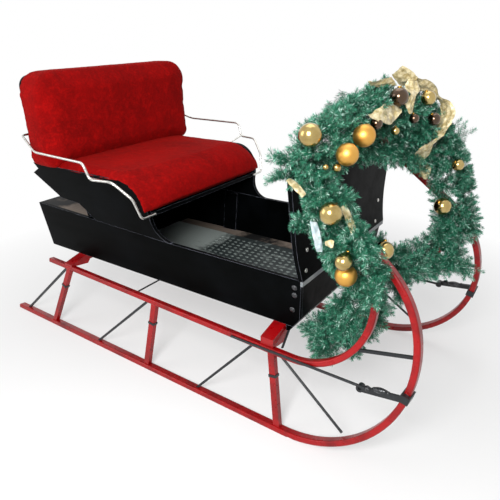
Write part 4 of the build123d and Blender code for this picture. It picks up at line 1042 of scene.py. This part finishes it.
def make_camera():
    """The camera, turned by azimuth, elevation and roll."""
    data = bpy.data.cameras.new("camera")
    data.lens = LENS_MM
    data.sensor_width = SENSOR_MM
    data.clip_start = 0.05
    data.clip_end = 60.0
    camera = bpy.data.objects.new("camera", data)
    bpy.context.scene.collection.objects.link(camera)
    azimuth, elevation, roll = map(math.radians, (CAMERA_AZIMUTH, CAMERA_ELEVATION, CAMERA_ROLL))
    back = Vector((math.sin(azimuth) * math.cos(elevation),
                   -math.cos(azimuth) * math.cos(elevation), math.sin(elevation)))
    right = (-back).cross(Vector((0, 0, 1))).normalized()
    up = right.cross(-back)
    rolled_right = math.cos(roll) * right + math.sin(roll) * up
    rolled_up = -math.sin(roll) * right + math.cos(roll) * up
    camera.matrix_world = Matrix.Translation(CAMERA_AT) @ Matrix(
        (rolled_right, rolled_up, back)).transposed().to_4x4()
    bpy.context.scene.camera = camera


def add_light(name, at, towards, size, watts):
    """A square soft light."""
    data = bpy.data.lights.new(name, "AREA")
    data.energy = watts
    data.size = size
    light = bpy.data.objects.new(name, data)
    light.location = at
    light.rotation_mode = "QUATERNION"
    light.rotation_quaternion = (Vector(towards) - Vector(at)).to_track_quat("-Z", "Y")
    bpy.context.scene.collection.objects.link(light)


def shows_white(tree):
    """1 for a ray that comes straight from the camera, or by a mirror or glass."""
    straight, mirror, glass = (add_node(tree, "ShaderNodeLightPath", output=ray)
                               for ray in ("Is Camera Ray", "Is Glossy Ray", "Is Transmission Ray"))
    first = add_node(tree, "ShaderNodeMath", {0: straight, 1: mirror}, operation="MAXIMUM")
    return add_node(tree, "ShaderNodeMath", {0: first, 1: glass}, operation="MAXIMUM")


def make_world():
    """White behind the sleigh, and a soft pale light all round it."""
    world = bpy.data.worlds.new("studio")
    bpy.context.scene.world = world
    tree = empty_tree(world)
    strength = add_node(tree, "ShaderNodeMapRange", {
        "Value": shows_white(tree), "To Min": SURROUND_STRENGTH, "To Max": 1.0})
    background = add_node(tree, "ShaderNodeBackground", {"Color": "#ffffff", "Strength": strength})
    add_node(tree, "ShaderNodeOutputWorld", {"Surface": background})


def make_floor():
    """A plain pale floor at the runners' feet, which keeps their shadow and turns white further out."""
    material = bpy.data.materials.new("floor_pale_matte")
    tree = empty_tree(material)
    at = add_node(tree, "ShaderNodeTexCoord", output="Object")
    paint = add_node(tree, "ShaderNodeBsdfPrincipled", {
        "Base Color": "#f4f4f4", "Roughness": 0.9, "Specular IOR Level": 0.0})
    far = add_node(tree, "ShaderNodeVectorMath", {0: at}, "Value", operation="LENGTH")
    outer = add_node(tree, "ShaderNodeMapRange", {
        "Value": far, "From Min": WHITE_FROM, "From Max": WHITE_TO, "To Min": WHITE_LEAST, "To Max": 1.0})
    share = add_node(tree, "ShaderNodeMath", {0: outer, 1: shows_white(tree)}, operation="MULTIPLY")
    glow = add_node(tree, "ShaderNodeEmission", {"Color": "#ffffff", "Strength": 1.0})
    add_node(tree, "ShaderNodeOutputMaterial", {
        "Surface": add_node(tree, "ShaderNodeMixShader", {0: share, 1: paint, 2: glow})})
    mesh = bpy.data.meshes.new("floor_plain")
    corners = [(x * FLOOR_HALF, y * FLOOR_HALF, 0) for x, y in ((-1, -1), (1, -1), (1, 1), (-1, 1))]
    mesh.from_pydata(corners, [], [(0, 1, 2, 3)])
    mesh.materials.append(material)
    floor = bpy.data.objects.new("floor_plain", mesh)
    floor.location = (0, 0, -FLOOR_DROP)
    bpy.context.scene.collection.objects.link(floor)


make_camera()
make_world()
make_floor()
add_light("key", (1.3, -2.6, 2.2), (0.3, -0.3, 0.6), 1.0, 95)
add_light("fill", (-2.8, -3.0, 2.4), (-0.2, 0.0, 0.6), 2.4, 45)
add_light("top", (0.2, 0.6, 4.2), (0.0, 0.0, 0.6), 2.6, 35)
bpy.context.scene.view_settings.view_transform = "Standard"
